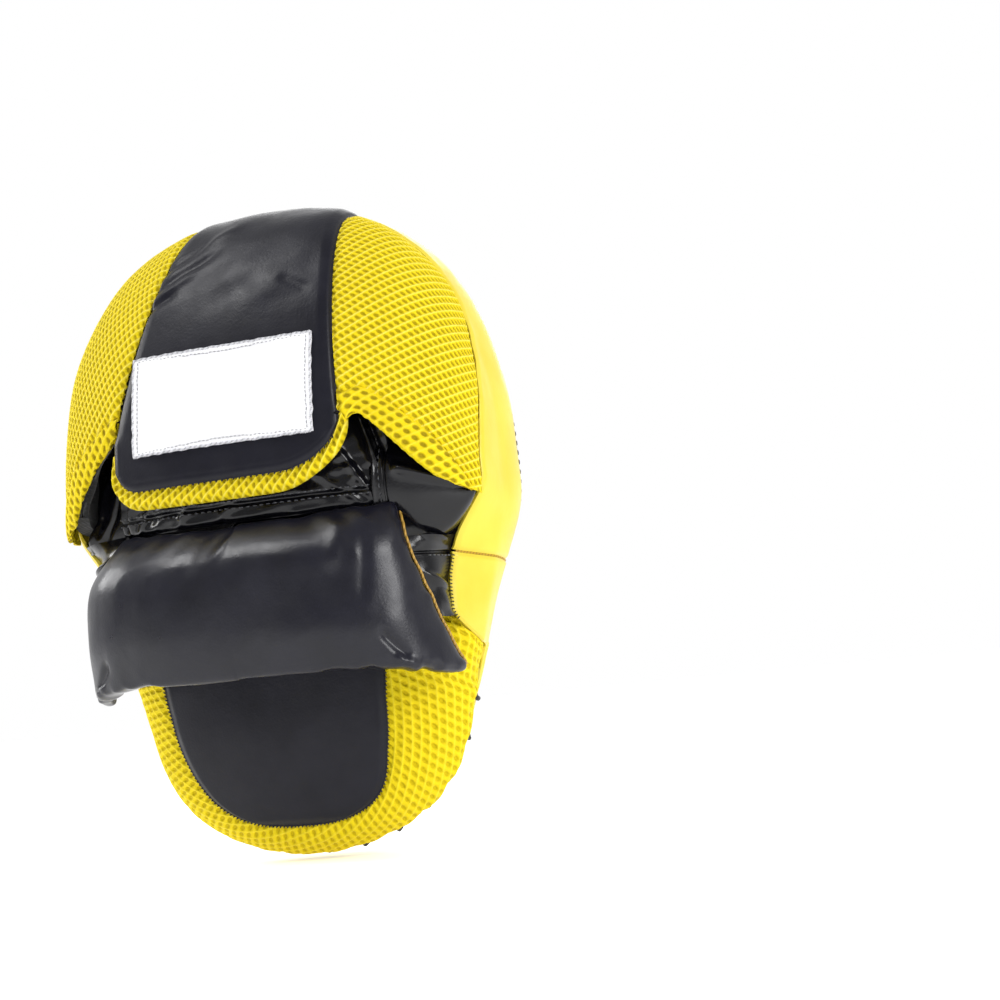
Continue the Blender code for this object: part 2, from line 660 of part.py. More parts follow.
def build_thumb_pouch(looks):
    """The pointed pocket that the thumb goes into, open towards the palm."""
    base = np.asarray(POUCH_BASE)
    tip = np.asarray(POUCH_TIP)
    turns = np.arange(14) * 2 * math.pi / 14

    def ring(step, wall):
        swell = math.sqrt(1 - step**1.7)
        y = (POUCH_HALF_Y * swell - wall) * np.sin(turns)
        z = (POUCH_HALF_Z * swell - wall) * np.cos(turns)
        centre = base + (tip - base) * step
        return np.stack([np.full(14, centre[0]), centre[1] + y, centre[2] + z], axis=1)

    outer = [ring(step, 0.0) for step in (0.0, 0.25, 0.5, 0.75, 0.92, 0.99)]
    inner = [ring(step, SKIN) for step in (0.88, 0.7, 0.45, 0.2, 0.0)]
    ring_solid("thumb_pouch", inner + outer, looks["gloss"])


def build_side_panel(name, side, looks):
    """A soft dark panel from inside the raised side wall to the inside of the cuff's side."""
    ends = [along_at_height(z) for z in (SIDE_TOP_Z, SIDE_BOTTOM_Z)]
    along = np.linspace(ends[0], ends[1], 7)
    foot_y = wall_edge_y(along, GUSSET_LACE_Y) - SIDE_OVERLAP
    foot = side_point(along, foot_y) - outward(along, foot_y) * (SKIN + 5 * GAP)
    top = np.stack([np.linspace(*SIDE_TOP_X, 7), np.linspace(*SIDE_TOP_Y, 7), foot[:, 2]], axis=1)
    step = np.linspace(0, 1, 6)[None, :, None]
    grid = foot[:, None, :] * (1 - step) + top[:, None, :] * step
    swell = SIDE_BULGE * np.sin(math.pi * step)
    grid = grid + swell * np.array([0.45, 0.9, 0.0])
    grid[..., 0] *= side
    grid_solid(name, grid, sink(grid, SKIN, (0.0, 0.0, -0.02)), looks["gloss"])


def cuff_grid(across, down):
    """Outer surface of the cuff, an arch over the wrist that widens towards its lower edge."""
    share = np.linspace(0, 1, down)
    end = CUFF_END_TOP + (CUFF_END_BOTTOM - CUFF_END_TOP) * share**0.8
    half = CUFF_HALF_TOP + (CUFF_HALF_BOTTOM - CUFF_HALF_TOP) * share
    puff = CUFF_HEIGHT - CUFF_SEAM_HEIGHT
    height = CUFF_SEAM_HEIGHT + puff * np.sin(math.pi / 2 * np.clip(share / 0.35, 0, 1))
    height = height - (CUFF_HEIGHT - CUFF_LIP_HEIGHT) * smooth((share - 0.7) / 0.3)
    turn = np.linspace(0, 1, across)[:, None] * (math.pi - 2 * end)[None, :] + end[None, :]
    x = half[None, :] * np.sign(np.cos(turn)) * np.abs(np.cos(turn)) ** (2 / CUFF_POWER)
    y = height[None, :] * np.sin(turn) ** (2 / CUFF_POWER)
    z = np.broadcast_to((CUFF_TOP_Z + (CUFF_BOTTOM_Z - CUFF_TOP_Z) * share)[None, :], x.shape)
    return np.stack([x, y, z], axis=-1)


def build_cuff(looks):
    """The padded cuff: cover, foam, lining and the thin piping down its two side edges."""
    across, down = 19, 9
    grid = cuff_grid(across, down)
    middle = (0.0, 0.0, CUFF_BOTTOM_Z)
    wide = 1 - np.abs(np.linspace(-1, 1, across)) ** 4
    long = np.sin(math.pi * np.clip(np.linspace(0.0, 1.0, down) * 0.86 + 0.07, 0, 1)) ** 0.5
    foam = CUFF_FOAM_THIN + (CUFF_FOAM_THICK - CUFF_FOAM_THIN) * wide[:, None] * long[None, :]
    start = SKIN + GAP
    pieces = [grid_solid("cuff_cover", grid, sink(grid, SKIN, middle), looks["pu"])]
    pieces.append(grid_solid("cuff_foam", sink(grid, start, middle), sink(grid, start + foam, middle), looks["foam"]))
    start = start + foam + GAP
    pieces.append(
        grid_solid("cuff_lining", sink(grid, start, middle), sink(grid, start + SKIN, middle), looks["lining"])
    )
    for name, row in (("cuff_piping_little", 0), ("cuff_piping_thumb", -1)):
        edge = cuff_grid(across, 13)[row]
        edge = edge + np.array([0.0, -0.0013, 0.0])
        pieces.append(tube(name, edge, PIPING_RADIUS, 6, looks["amber"]))
    return pieces


def hang(name, place, pieces):
    """An empty on the hinge line that carries the moving pieces."""
    holder = bpy.data.objects.new(name, None)
    holder.location = place
    bpy.context.scene.collection.objects.link(holder)
    bpy.context.view_layer.update()
    for piece in pieces:
        piece.parent = holder
        piece.matrix_parent_inverse = holder.matrix_world.inverted()


def build():
    """The whole mitt."""
    clear_scene()
    looks = {
        "pu": material("charcoal_pu", CHARCOAL, 0.42),
        "gloss": material("gloss_black_pu", GLOSS_BLACK, 0.25),
        "yellow": material("yellow_pu", YELLOW, 0.38),
        "mesh": material("yellow_air_mesh", MESH_YELLOW, 0.85),
        "foam": material("grey_foam", FOAM_GREY, 0.95),
        "lining": material("black_lining", GLOSS_BLACK, 0.80),
        "label": material("white_patch", WHITE, 0.55),
        "lace": material("black_lace", GLOSS_BLACK, 0.60),
        "amber": material("amber_piping", AMBER, 0.45),
    }
    build_strike_face(looks)
    build_foam_layers(looks)
    build_gussets(looks)
    build_backing(looks)
    mesh_panel = build_lower_back(looks)
    build_palm_lining(looks)
    tube("lace", lace_path(10), LACE_RADIUS, 5, looks["lace"])
    cut_lace_holes([bpy.data.objects["lower_gusset"], mesh_panel], looks)
    build_hood(looks)
    build_label(looks)
    build_inner_glove(looks)
    tongue_hinge = (0.0, HOOD_RIM_Y + HOOD_HEIGHT, (STRAP_END_Z + TONGUE_TOP_Z) / 2)
    hang("tongue_hinge", tongue_hinge, build_tongue(looks))
    hang("cuff_hinge", (0.0, CUFF_SEAM_HEIGHT, CUFF_TOP_Z), build_cuff(looks))


build()
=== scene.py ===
"""Looks of the left-hand boxing focus mitt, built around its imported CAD.

+Z runs to the fingertips, the strike face looks along -Y, the hand lies on the +Y side
and the thumb is at -X. Lengths are in metres.
"""

import math

import bmesh
import bpy
import numpy as np
from mathutils import Matrix, Vector


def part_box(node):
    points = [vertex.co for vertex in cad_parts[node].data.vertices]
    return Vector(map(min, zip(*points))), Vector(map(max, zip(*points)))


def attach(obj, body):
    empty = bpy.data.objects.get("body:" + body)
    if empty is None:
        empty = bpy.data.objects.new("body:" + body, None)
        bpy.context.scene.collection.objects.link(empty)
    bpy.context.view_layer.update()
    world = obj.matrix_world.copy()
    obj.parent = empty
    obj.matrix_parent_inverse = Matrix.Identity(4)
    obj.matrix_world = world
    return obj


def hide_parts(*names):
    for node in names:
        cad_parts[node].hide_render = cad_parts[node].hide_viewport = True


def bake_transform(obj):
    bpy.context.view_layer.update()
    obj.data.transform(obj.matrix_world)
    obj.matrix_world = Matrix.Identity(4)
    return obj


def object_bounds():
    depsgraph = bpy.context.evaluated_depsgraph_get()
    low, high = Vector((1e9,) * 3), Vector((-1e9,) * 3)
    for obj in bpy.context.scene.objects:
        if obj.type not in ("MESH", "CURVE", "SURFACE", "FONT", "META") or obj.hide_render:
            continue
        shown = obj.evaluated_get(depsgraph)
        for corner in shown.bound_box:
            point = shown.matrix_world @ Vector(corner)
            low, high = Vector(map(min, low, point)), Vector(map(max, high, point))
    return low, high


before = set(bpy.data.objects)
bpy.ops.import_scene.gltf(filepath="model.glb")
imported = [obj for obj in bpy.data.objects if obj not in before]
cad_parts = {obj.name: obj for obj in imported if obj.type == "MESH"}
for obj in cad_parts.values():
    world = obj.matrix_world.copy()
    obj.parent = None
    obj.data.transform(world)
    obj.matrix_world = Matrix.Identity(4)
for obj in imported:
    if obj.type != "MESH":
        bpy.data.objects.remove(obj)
cad_low, cad_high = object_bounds()

# Outline of the pad, as the hull of two ovals: half width, height above and below centre, centre, power.
FACE_HEAD = (0.092, 0.120, 0.040, 0.015, 2.5)
FACE_TAIL = (0.044, 0.0505, 0.0505, -0.0695, 2.0)
FACE_CORNER_EASE = 0.009
BACK_HEAD = (0.097, 0.126, 0.050, 0.015, 2.5)
BACK_TAIL = (0.077, 0.074, 0.074, -0.060, 2.25)
HULL_STEPS = 1400
OUTLINE_LENGTH = 0.79

# Depths through the pad, along Y.
FACE_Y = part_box("strike_cover")[0].y
FACE_SEAM_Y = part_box("strike_cover")[1].y
BACK_Y = -0.0015
FACE_ROUND = 0.013
FACE_POWER = 2.6
FACE_SIDES = 720
FACE_ROLL_RINGS = 22
FACE_FLAT_RINGS = 42
FACE_STITCH_INSET = 0.0009
FACE_STITCH_RISE = 0.0046
FACE_STITCH_LEAN = -0.25
ROW_POINTS = 900
SKIN = 0.0012
GAP = 0.0003
GUSSET_BULGE = 0.0035
GUSSET_ROWS = 30
GUSSET_COLUMNS = (900, 1000)
GUSSET_GAP = 0.0006
GUSSET_LACED_RUN = 0.003
GUSSET_LACED_BACK = 0.0004
# Dark cords sunk into the side wall's seams: painted shade in the seam grooves.
SEAM_SHADE_CORD_RADIUS = 0.0005
SEAM_SHADE_CORD_SINK = 0.0010
FACE_SEAM_SHADE_RADIUS = 0.0006
FACE_SEAM_SHADE_SINK = 0.0012
FACE_SEAM_SHADE_POINTS = 1200
WALL_STITCH_SINK = 0.0007

# Where the side wall divides.
SHOULDER_Z = -0.018
LACE_TOP_Z = -0.063
WALL_RISE = 0.0195
WALL_LOW_Z = 0.100
WALL_HIGH_Z = 0.015
WALL_END_Z = -0.040
WALL_LACED_Z = -0.061
WALL_LEAN_IN = 0.0100
WALL_LEAN_RUN = 0.033
WALL_LEAN_LOST = 0.5
WALL_LOST_Z = -0.025
WALL_LOST_RUN = 0.025
WALL_DOME_INSET = 0.0013
GUSSET_LACE_Y = -0.0120
PANEL_LACE_Y = -0.0070
LACE_RADIUS = 0.0010
LACE_STITCHES = 13
LACE_REACH = 0.0050
LACE_SWING = 0.0013
LACE_SINK = 0.0008
LACE_MARGIN = 0.012
LACE_PULL = 0.0018
LACE_STEPS = 40
BACKING_THICK = 0.0010
BACKING_COLUMNS = 14
BACKING_ROWS = 400
BACKING_PAST_WALL = 0.005
BACKING_PAST_PANEL = 0.004
BACKING_DEPTH = 0.0026
BACKING_HOLLOW = 0.0014

# Palm and lower back.
PALM_INSET = 0.0100
PALM_END_Z = -0.0205
CUSHION_TOP_Z = -0.0205
CUSHION_HEIGHT = 0.0215
CUSHION_ROUND = 0.060
CUSHION_POWER = 1.8
CUSHION_RISE_Z = -0.056
CUSHION_EDGE_RISE = 0.0030
CENTRE_HALF_WIDTH = 0.0500
CENTRE_TAPER = 0.10
CENTRE_ROUND_Z = -0.072
CENTRE_BOTTOM_Z = -0.1210
CENTRE_POWER = 2.6
CENTRE_LITTLE_FLARE = 0.13
CENTRE_FLARE_Z = -0.105
CENTRE_FLARE_RUN = 0.045
CENTRE_THUMB_CUT = 0.10
CENTRE_CUT_RUN = 0.030
CENTRE_THICK = 0.0016
CENTRE_LIFT = 0.0007
CENTRE_PUFF = 0.0012

# Where the mesh of the lower back goes behind the side wall, and further up is tucked in below the cuff.
BEHIND_Z = -0.071
BEHIND_RUN = 0.008
BEHIND_DROP = 0.0016
BEHIND_INSET = 0.0021
BEHIND_INSET_Z = -0.073
BEHIND_INSET_RUN = 0.006
TUCK_Z = -0.052
TUCK_RUN = 0.008
TUCK_INSET = 0.0065
REAR_MESH_COLUMNS = 620
REAR_MESH_EDGE_ROWS = 12
REAR_MESH_ROWS = 62
REAR_MESH_THICK = 0.0012
REAR_MESH_UNDER = 0.0035
REAR_MESH_SPACING = 1.35
REAR_MESH_EVEN = 0.0030
REAR_MESH_EASING = 6

# Hood.
HOOD_RIM_Y = -0.0012
HOOD_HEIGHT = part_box("hood_strap")[1].y - HOOD_RIM_Y
HOOD_LONG_POWER = 2.1
HOOD_CROSS_POWER = 2.9
STRAP_LITTLE_ANGLE = math.radians(12.0)
STRAP_THUMB_ANGLE = math.radians(-20.5)
HOOD_END_ANGLE = math.radians(95.5)
HOOD_SPACING = 1.8
HOOD_MESH_GRID = (190, 200)
HOOD_MESH_THICK = 0.0010
HOOD_LINING_LIFT_Z = 0.0045
HOOD_LINING_BEHIND_STRAP_Z = 0.038
HOOD_LINING_SHARE = 0.97
STRAP_LIP_X = 0.0530
STRAP_LIP_THUMB_X = 0.0500
LIP_HIGH_Z = 0.045
LIP_LOW_Z = 0.0095
LIP_END_X = 0.0895
LIP_POWER = 1.15
MESH_THICK = 0.0020
HOOD_FOAM_THICK = 0.0050
TONGUE_BOTTOM_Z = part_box("tongue")[0].z
TONGUE_MESH_BOTTOM_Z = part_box("tongue_mesh_rim")[0].z
TONGUE_TRIM = 0.0030
TONGUE_LITTLE_CORNER = (0.013, 0.0130)
TONGUE_THUMB_CORNER = (0.028, 0.0215)
TONGUE_RIM_OUT = 0.0026
TONGUE_RIM_TOP_Z = 0.0375
TONGUE_RIM_DEPTHS = (0.0019, 0.0071)
STRAP_HOLD_Z = 0.042
STRAP_THICK = 0.0019
STRAP_ROWS = (150, 50)
STRAP_COLUMNS = 150
STRAP_PUFF = 0.0009
STRAP_FREE_Z = 0.047
STRAP_FREE_RUN = 0.006
STRAP_TOP_Z = 0.085
STRAP_TOP_RUN = 0.02
LABEL_LITTLE_TRIM = 0.0015
LABEL_THUMB_TRIM = 0.0026
LABEL_TOP_TRIM = 0.0043
LABEL_THICK = 0.0009
LABEL_LIFT = 0.0019

# Inner glove.
COVER_HALF_WIDTH = 0.074
COVER_HEIGHT = 0.0460
COVER_POWER = 2.6
POUCH_BASE = (-0.0540, 0.0165, 0.0170)
POUCH_TIP = (-0.0930, 0.0215, 0.0080)
POUCH_HALF_Y = 0.0205
POUCH_ABOVE = 0.0200
POUCH_BELOW = 0.0300
POUCH_ROWS = 110
POUCH_SIDES = 120
POUCH_RIDGE_TURN = 1.35
COVER_EDGE_X = 0.0728
COVER_TOP_Z = 0.062
COVER_BOTTOM_Z = 0.0045
COVER_HALF_LENGTH = 0.105
COVER_COLUMNS = 330
COVER_ROWS = 150
COVER_STITCHES = {"upper": 0.0135, "lower": 0.0102}
SIDE_BOTTOM_Z = -0.043
SIDE_SEAM_Z = -0.0170
SIDE_WIDTH = 0.022
SIDE_BULGE_TO = (0.45, 0.9, 0.0)
SIDE_UNDER = 0.0009
SIDE_BELOW = 0.0012
SIDE_TOP_IN = (0.0030, 0.0010)
FLAP_HIGH = (0.0640, 0.0275)
FLAP_TOP_Z = 0.042
FLAP_BOTTOM_Z = 0.002
FLAP_HIGHEST_FOOT_Y = 0.0175
FLAP_INSET = 0.0085
FLAP_INSET_Z = 0.007
FLAP_INSET_RUN = 0.010

# Cuff.
CUFF_TOP_Z = 0.0070
CUFF_BOTTOM_Z = -0.0650
CUFF_HALF_TOP = 0.074
CUFF_HALF_BOTTOM = 0.084
CUFF_POWER = 3.4
CUFF_SEAM_HEIGHT = 0.0480
CUFF_HEIGHT = 0.0655
CUFF_LIP_HEIGHT = 0.0625
CUFF_EDGE_LIFT = 0.0042
CUFF_LIFT_SHARE = 0.4
CUFF_RISE_SHARE = 0.35
CUFF_FALL_SHARE = 0.3
CUFF_WIDEST = 0.4
CUFF_LITTLE_START = 0.003
CUFF_LITTLE_OUT = 0.0085
CUFF_LITTLE_BACK = 0.0055
CUFF_AXIS_Y = 0.012
CUFF_LINING_FACING = 0.6
CUFF_END_TOP = math.radians(36.0)
CUFF_END_BOTTOM = math.radians(7.0)
CUFF_ACROSS = 110
CUFF_DOWN = 40
CUFF_EDGE_THICK = 0.0058
CUFF_MIDDLE_THICK = 0.0075
CUFF_VOXEL = 0.0030
CUFF_PRESSURE = 4.0
CUFF_PUFF_CAP = 0.0050
CLOTH_FRAMES = 20
PIPING_RADIUS = 0.0006

# Air mesh: a slot's slant, half width, half length and soft edge, as shares of its pitch across and row.
SLOT_SLANT = -0.45
SLOT_HALF_WIDTH = 0.30
SLOT_HALF_LENGTH = 0.40
SLOT_SOFT = (0.55, 1.15)
RIDGE_SOFT = (0.34, 0.50)
RIDGE_HEIGHT = 0.25
WEAVE_DEPTH = 0.0005

# Pitch and row of each air mesh, then the angle of its rows and how far its ridges fade and the painted shade
# in its holes deepens, where not 0.
BACK_WEAVE = (0.0040, 0.0036, 0.35, 0.7)
HOOD_WEAVE = (0.0027, 0.0034)
HOOD_WEAVE_TURN = math.radians(42)
RIM_WEAVE = (0.0031, 0.0031, math.radians(45), 0.2)
HEM_WEAVE = (0.0040, 0.0036)
HEM_WIDTH = 0.0095
HEM_STEP = 6e-5
HEM_ROWS = 24
HEM_ROLL = 0.0019
HEM_TUCK = 0.007

# Creases: start, end, width and height, each place across and up its own piece.
STRAP_CREASES = (
    ((0.036, 0.104), (0.006, 0.121), 0.0022, -0.0011),
    ((0.036, 0.112), (0.012, 0.127), 0.0020, -0.0010),
    ((0.041, 0.096), (0.024, 0.104), 0.0018, -0.0009),
    ((0.040, 0.100), (0.016, 0.1125), 0.0026, 0.0009),
    ((-0.038, 0.095), (-0.024, 0.103), 0.0024, -0.0005),
    ((0.030, 0.118), (0.000, 0.131), 0.0024, 0.0007),
)
HOOD_MESH_CREASES = (
    ((0.052, 0.004), (0.012, 0.020), 0.0032, 0.0012),
    ((0.060, 0.030), (0.030, 0.040), 0.0060, -0.0008),
)
COVER_PLEATS = (
    ((-0.064, 0.006), (-0.050, 0.050), 0.0024, 0.0030),
    ((-0.070, 0.006), (-0.062, 0.048), 0.0022, 0.0026),
    ((-0.058, 0.006), (-0.038, 0.034), 0.0020, 0.0018),
    ((-0.052, 0.006), (-0.026, 0.024), 0.0018, 0.0013),
    ((-0.078, 0.006), (-0.074, 0.040), 0.0026, 0.0024),
    ((-0.067, 0.010), (-0.056, 0.044), 0.0014, -0.0016),
    ((0.062, 0.006), (0.052, 0.036), 0.0022, 0.0022),
    ((0.070, 0.006), (0.064, 0.036), 0.0022, 0.0022),
    ((0.054, 0.006), (0.036, 0.026), 0.0018, 0.0013),
    ((0.066, 0.008), (0.058, 0.032), 0.0013, -0.0013),
    ((0.010, 0.006), (-0.004, 0.018), 0.0020, 0.0009),
    ((0.028, 0.006), (0.020, 0.018), 0.0018, 0.0009),
)
SIDE_PANEL_CREASES = (
    ((0.002, -0.012), (0.022, -0.004), 0.0016, 0.0018),
    ((0.002, -0.030), (0.022, -0.024), 0.0018, 0.0012),
)
FLAP_CREASES = (
    ((0.004, 0.002), (0.012, 0.034), 0.0018, 0.0022),
    ((0.012, 0.002), (0.020, 0.030), 0.0016, -0.0016),
)
CUFF_CREASES = (
    ((-0.086, -0.058), (-0.070, -0.046), 0.0020, -0.0016),
    ((-0.094, -0.062), (-0.078, -0.056), 0.0018, 0.0014),
    ((-0.078, -0.066), (-0.064, -0.060), 0.0016, -0.0014),
    ((0.086, -0.058), (0.070, -0.048), 0.0020, -0.0016),
    ((0.094, -0.062), (0.078, -0.056), 0.0018, 0.0014),
    ((0.080, -0.066), (0.062, -0.061), 0.0016, -0.0016),
    ((0.024, 0.004), (0.016, -0.018), 0.0044, -0.0006),
    ((0.010, 0.004), (0.006, -0.012), 0.0026, 0.0006),
    ((-0.060, 0.000), (-0.046, -0.020), 0.0040, 0.0008),
    ((-0.068, -0.004), (-0.062, -0.034), 0.0036, -0.0008),
)

# Camera, at the photograph's viewing angle.
CAMERA_AZIMUTH = math.radians(205.81)
CAMERA_ELEVATION = math.radians(-5.30)
CAMERA_ROLL = math.radians(-4.76)
CAMERA_DISTANCE = 0.800
CAMERA_LENS_MM = 66.69
SENSOR_MM = 36.0
AIM_LEFT = math.tan(math.radians(6.367))
AIM_DOWN = math.tan(math.radians(1.172))

# Studio: the surround's strength towards and away from the camera, and each light's place, size and power.
SURROUND_NEAR = 0.45
SURROUND_FAR = 1.06
SURROUND_SPREAD = (-0.3, 0.75)
SURROUND_TURN = math.radians(18)
FLOOR_HALF = 30.0
FLOOR_GAP = 0.001
FLOOR_GLOW = 0.42
LIGHTS = {
    "key": ((0.70, 0.62, 1.42), 0.45, 10.0),
    "side": ((-1.30, 0.60, 0.45), 0.60, 14.0),
    "front": ((0.30, -1.20, 0.70), 0.9, 6.0),
    "rim": ((1.20, 0.10, 0.55), 0.5, 7.0),
}

SHARP_ANGLE = math.radians(55)
WAVE_TURN = 6.283

# Soft lines where pieces are sewn, folded or swell: height and width.
SOFT_LINES = {
    "wall_at_face": (0.0013, 0.0011),
    "wall_at_edge": (0.0009, 0.0008),
    "wall_at_end": (0.0008, 0.0009),
    "mesh_at_lace": (0.0010, 0.0012),
    "mesh_at_centre": (0.0011, 0.0020),
    "thumb_lip": (0.0045, 0.075),
    "mesh_at_strap": (0.0012, 0.0016),
    "mesh_at_rim": (0.0011, 0.0014),
    "hem": (0.0009, 0.0010),
    "strap_side": (0.0014, 0.0011),
    "strap_at_rim": (0.0012, 0.0012),
    "strap_edge": (0.0009, 0.001),
    "tongue_rim": (0.0012, 0.0026),
    "label_stitches": (0.0004, 0.0006),
    "cover_stitches": (0.0010, 0.0009),
    "cover_edge": (0.0012, 0.0012),
    "pouch_seam": (0.0011, 0.018),
    "pouch_roll": (0.0006, 0.025),
    "pouch_root": (0.0013, 0.022),
    "pouch_ridge": (0.0026, 0.13),
    "side_seam": (0.0010, 0.0006),
}

# Wrinkles: height, size and the seed of their random draws.
WRINKLES = {
    "face": (0.00022, 0.045, 3),
    "face_rim": (0.00016, 0.006, 4),
    "wall_at_face": (0.00022, 0.007, 5),
    "wall_at_edge": (0.00016, 0.009, 6),
    "wall": (0.00035, 0.035, 7),
    "backing": (0.0003, 0.006, 8),
    "rear_mesh": (0.0005, 0.03, 11),
    "centre": (0.00035, 0.05, 13),
    "palm": (0.0006, 0.03, 17),
    "strap": (0.0004, 0.05, 31),
    "strap_top": (0.00035, 0.016, 32),
    "hood_lining": (0.0006, 0.02, 41),
    "label_sides": (0.00022, 0.004, 51),
    "label_ends": (0.00025, 0.004, 52),
    "label": (0.00012, 0.018, 53),
    "cover": (0.0008, 0.016, 61),
    "cover_fine": (0.0003, 0.006, 62),
    "pouch": (0.0006, 0.014, 71),
    "side_panel": (0.0009, 0.012, 81),
    "flap": (0.0008, 0.014, 84),
    "cuff": (0.0006, 0.040, 91),
    "cuff_fine": (0.00012, 0.016, 92),
    "cuff_top": (0.0004, 0.016, 93),
    "piping": (0.0004, 0.012, 94),
}

# Stitches: thread, pitch, length, radius, how far turned from along the row to across it, and lift in radii.
STITCHES = {
    "face": ("black_thread", 0.0042, 0.0030, 0.00034, 0.0, 0.0),
    "wall": ("black_thread", 0.0014, 0.0016, 0.00026, 0.8, 0.35),
    "centre": ("black_thread", 0.0017, 0.0013, 0.00032, 0.55, 0.35),
    "tongue": ("black_thread", 0.0026, 0.0015, 0.00036, 0.5, 0.9),
    "label": ("silver", 0.0007, 0.0012, 0.00026, 1.0, 0.35),
    "ticks": ("grey", 0.0018, 0.0014, 0.00017, 0.0, 0.35),
    # Cover, pouch and side stitches use black thread coloured dark grey as a painted glint.
    "cover": ("painted_glint_thread", 0.0030, 0.0019, 0.0003, 0.0, 0.35),
    "pouch": ("painted_glint_thread", 0.0030, 0.0021, 0.0003, 0.0, 0.35),
    "side": ("painted_glint_thread", 0.0024, 0.0017, 0.00028, 0.0, 0.35),
}
STITCH_SIDES = 6
STITCH_STATIONS = 5


# ---------------------------------------------------------------- shape of the pad


def smooth(share):
    """A soft step from 0 to 1."""
    share = np.clip(share, 0.0, 1.0)
    return share * share * (3 - 2 * share)


def bump(distance, width):
    """1 at no distance, falling softly to 0 within about two widths."""
    return np.exp(-((np.asarray(distance) / width) ** 2))


def soft_line(distance, kind):
    """A bump of this kind at its height, to add as a swell or to take away as a groove."""
    height, width = SOFT_LINES[kind]
    return height * bump(distance, width)


def unit(vectors):
    """The vectors at a length of 1."""
    return vectors / np.maximum(np.linalg.norm(vectors, axis=-1), 1e-12)[..., None]


def at_lengths(points, lengths, at):
    """Points of a polyline at distances along it."""
    return np.stack([np.interp(at, lengths, points[:, k]) for k in range(points.shape[1])], axis=-1)


def run_length(points):
    """Distance from a polyline's start to each of its points."""
    steps = np.linalg.norm(np.diff(points, axis=0), axis=1)
    return np.concatenate([[0.0], np.cumsum(steps)])


def oval_support(oval, normals):
    """For each direction, how far the oval reaches and the point where it does."""
    half_x, above, below, centre, power = oval
    half_z = np.where(normals[:, 1] > 0, above, below)
    dual = power / (power - 1)
    x = half_x * np.abs(normals[:, 0])
    z = half_z * np.abs(normals[:, 1])
    reach = (x**dual + z**dual) ** (1 / dual)
    points = np.stack(
        [
            np.sign(normals[:, 0]) * half_x * (x / reach) ** (dual - 1),
            np.sign(normals[:, 1]) * half_z * (z / reach) ** (dual - 1) + centre,
        ],
        axis=1,
    )
    return reach + centre * normals[:, 1], points


def half_outline(head, tail):
    """Right half of the hull of a head and a tail oval: points, normals and reaches."""
    angle = np.linspace(0, math.pi, HULL_STEPS)
    normals = np.stack([np.sin(angle), np.cos(angle)], axis=1)
    head_reach, head_points = oval_support(head, normals)
    tail_reach, tail_points = oval_support(tail, normals)
    upper = (head_reach >= tail_reach)[:, None]
    points = np.where(upper, head_points, tail_points)
    return points, normals, np.maximum(head_reach, tail_reach)


def softened(half_curve, reach_m):
    """The same outline with its corners eased over about this length."""
    points, _, reach = half_curve
    length = run_length(points)
    step = length[-1] / (HULL_STEPS - 1)
    even = at_lengths(points, length, np.linspace(0, length[-1], HULL_STEPS))
    pad = int(3 * reach_m / step)
    mirror = np.array([-1.0, 1.0])
    whole = np.concatenate([even[pad:0:-1] * mirror, even, even[-2:-pad - 2:-1] * mirror])
    weight = bump(np.arange(-pad, pad + 1) * step, reach_m)
    weight = weight / weight.sum()
    eased = np.stack([np.convolve(whole[:, k], weight, mode="valid") for k in (0, 1)], axis=1)
    ahead = np.gradient(eased, axis=0)
    normals = unit(np.stack([-ahead[:, 1], ahead[:, 0]], axis=1))
    return eased, normals, reach


FACE_HALF = softened(half_outline(FACE_HEAD, FACE_TAIL), FACE_CORNER_EASE)
BACK_HALF = half_outline(BACK_HEAD, BACK_TAIL)


def half_at(half_curve, along):
    """Points and normals, as four columns, at shares of the way round one outline."""
    points, normals, _ = half_curve
    length = run_length(points)
    share = length / length[-1]
    half = np.minimum(along, 1 - along) * 2
    side = np.where(along <= 0.5, 1.0, -1.0)
    found = [np.interp(half, share, column) for column in (*points.T, *normals.T)]
    return np.stack([found[0] * side, found[1], found[2] * side, found[3]], axis=-1)


def edge_at(lean, along):
    """Points and normals of the outline, (x, z); lean is 0 at the face and 1 at the back.

    along runs 0 to 1 from the top, little-finger side first.
    """
    along = np.asarray(along, float) % 1.0
    lean = np.broadcast_to(np.clip(lean, 0.0, 1.0), along.shape)[..., None]
    both = half_at(FACE_HALF, along) * (1 - lean) + half_at(BACK_HALF, along) * lean
    return both[..., :2], unit(both[..., 2:])


def along_at_height(z, lean=1.0):
    """How far along an outline it comes down to the height z on the little-finger side."""
    along = np.linspace(0, 0.5, HULL_STEPS)
    places, _ = edge_at(lean, along)
    return float(np.interp(-z, -places[:, 1], along))


def lean_at(y):
    """How far from the face seam to the back seam the depth y lies."""
    return (y - FACE_SEAM_Y) / (BACK_Y - FACE_SEAM_Y)


def side_point(along, y):
    """A point on the outside of the side wall, which swells a little and leans in beside the hand."""
    along = np.asarray(along, float)
    y = np.broadcast_to(np.asarray(y, float), along.shape)
    lean = np.clip(lean_at(y), 0.0, 1.0)
    place, normal = edge_at(lean, along)
    height = np.clip((y - BACK_Y) / WALL_RISE, 0.0, None)
    z = place[..., 1]
    low = smooth((WALL_HIGH_Z - z) / WALL_LEAN_RUN)
    low = low * (1 - WALL_LEAN_LOST * smooth((WALL_LOST_Z - z) / WALL_LOST_RUN))
    inset = WALL_DOME_INSET * height**HOOD_CROSS_POWER + WALL_LEAN_IN * height * low
    place = place + normal * (GUSSET_BULGE * np.sin(math.pi * lean) - inset)[..., None]
    return np.stack([place[..., 0], y, place[..., 1]], axis=-1)


def wall_edge_y(along, laced_y):
    """Depth of the side wall's rear edge: high beside the hand, down at the lacing round the tail."""
    place, _ = edge_at(1.0, along)
    z = place[..., 1]
    rise = WALL_RISE * smooth((WALL_LOW_Z - z) / (WALL_LOW_Z - WALL_HIGH_Z))
    fall = smooth((WALL_END_Z - z) / (WALL_END_Z - WALL_LACED_Z))
    high = BACK_Y - GAP + rise
    return high + (laced_y - high) * fall


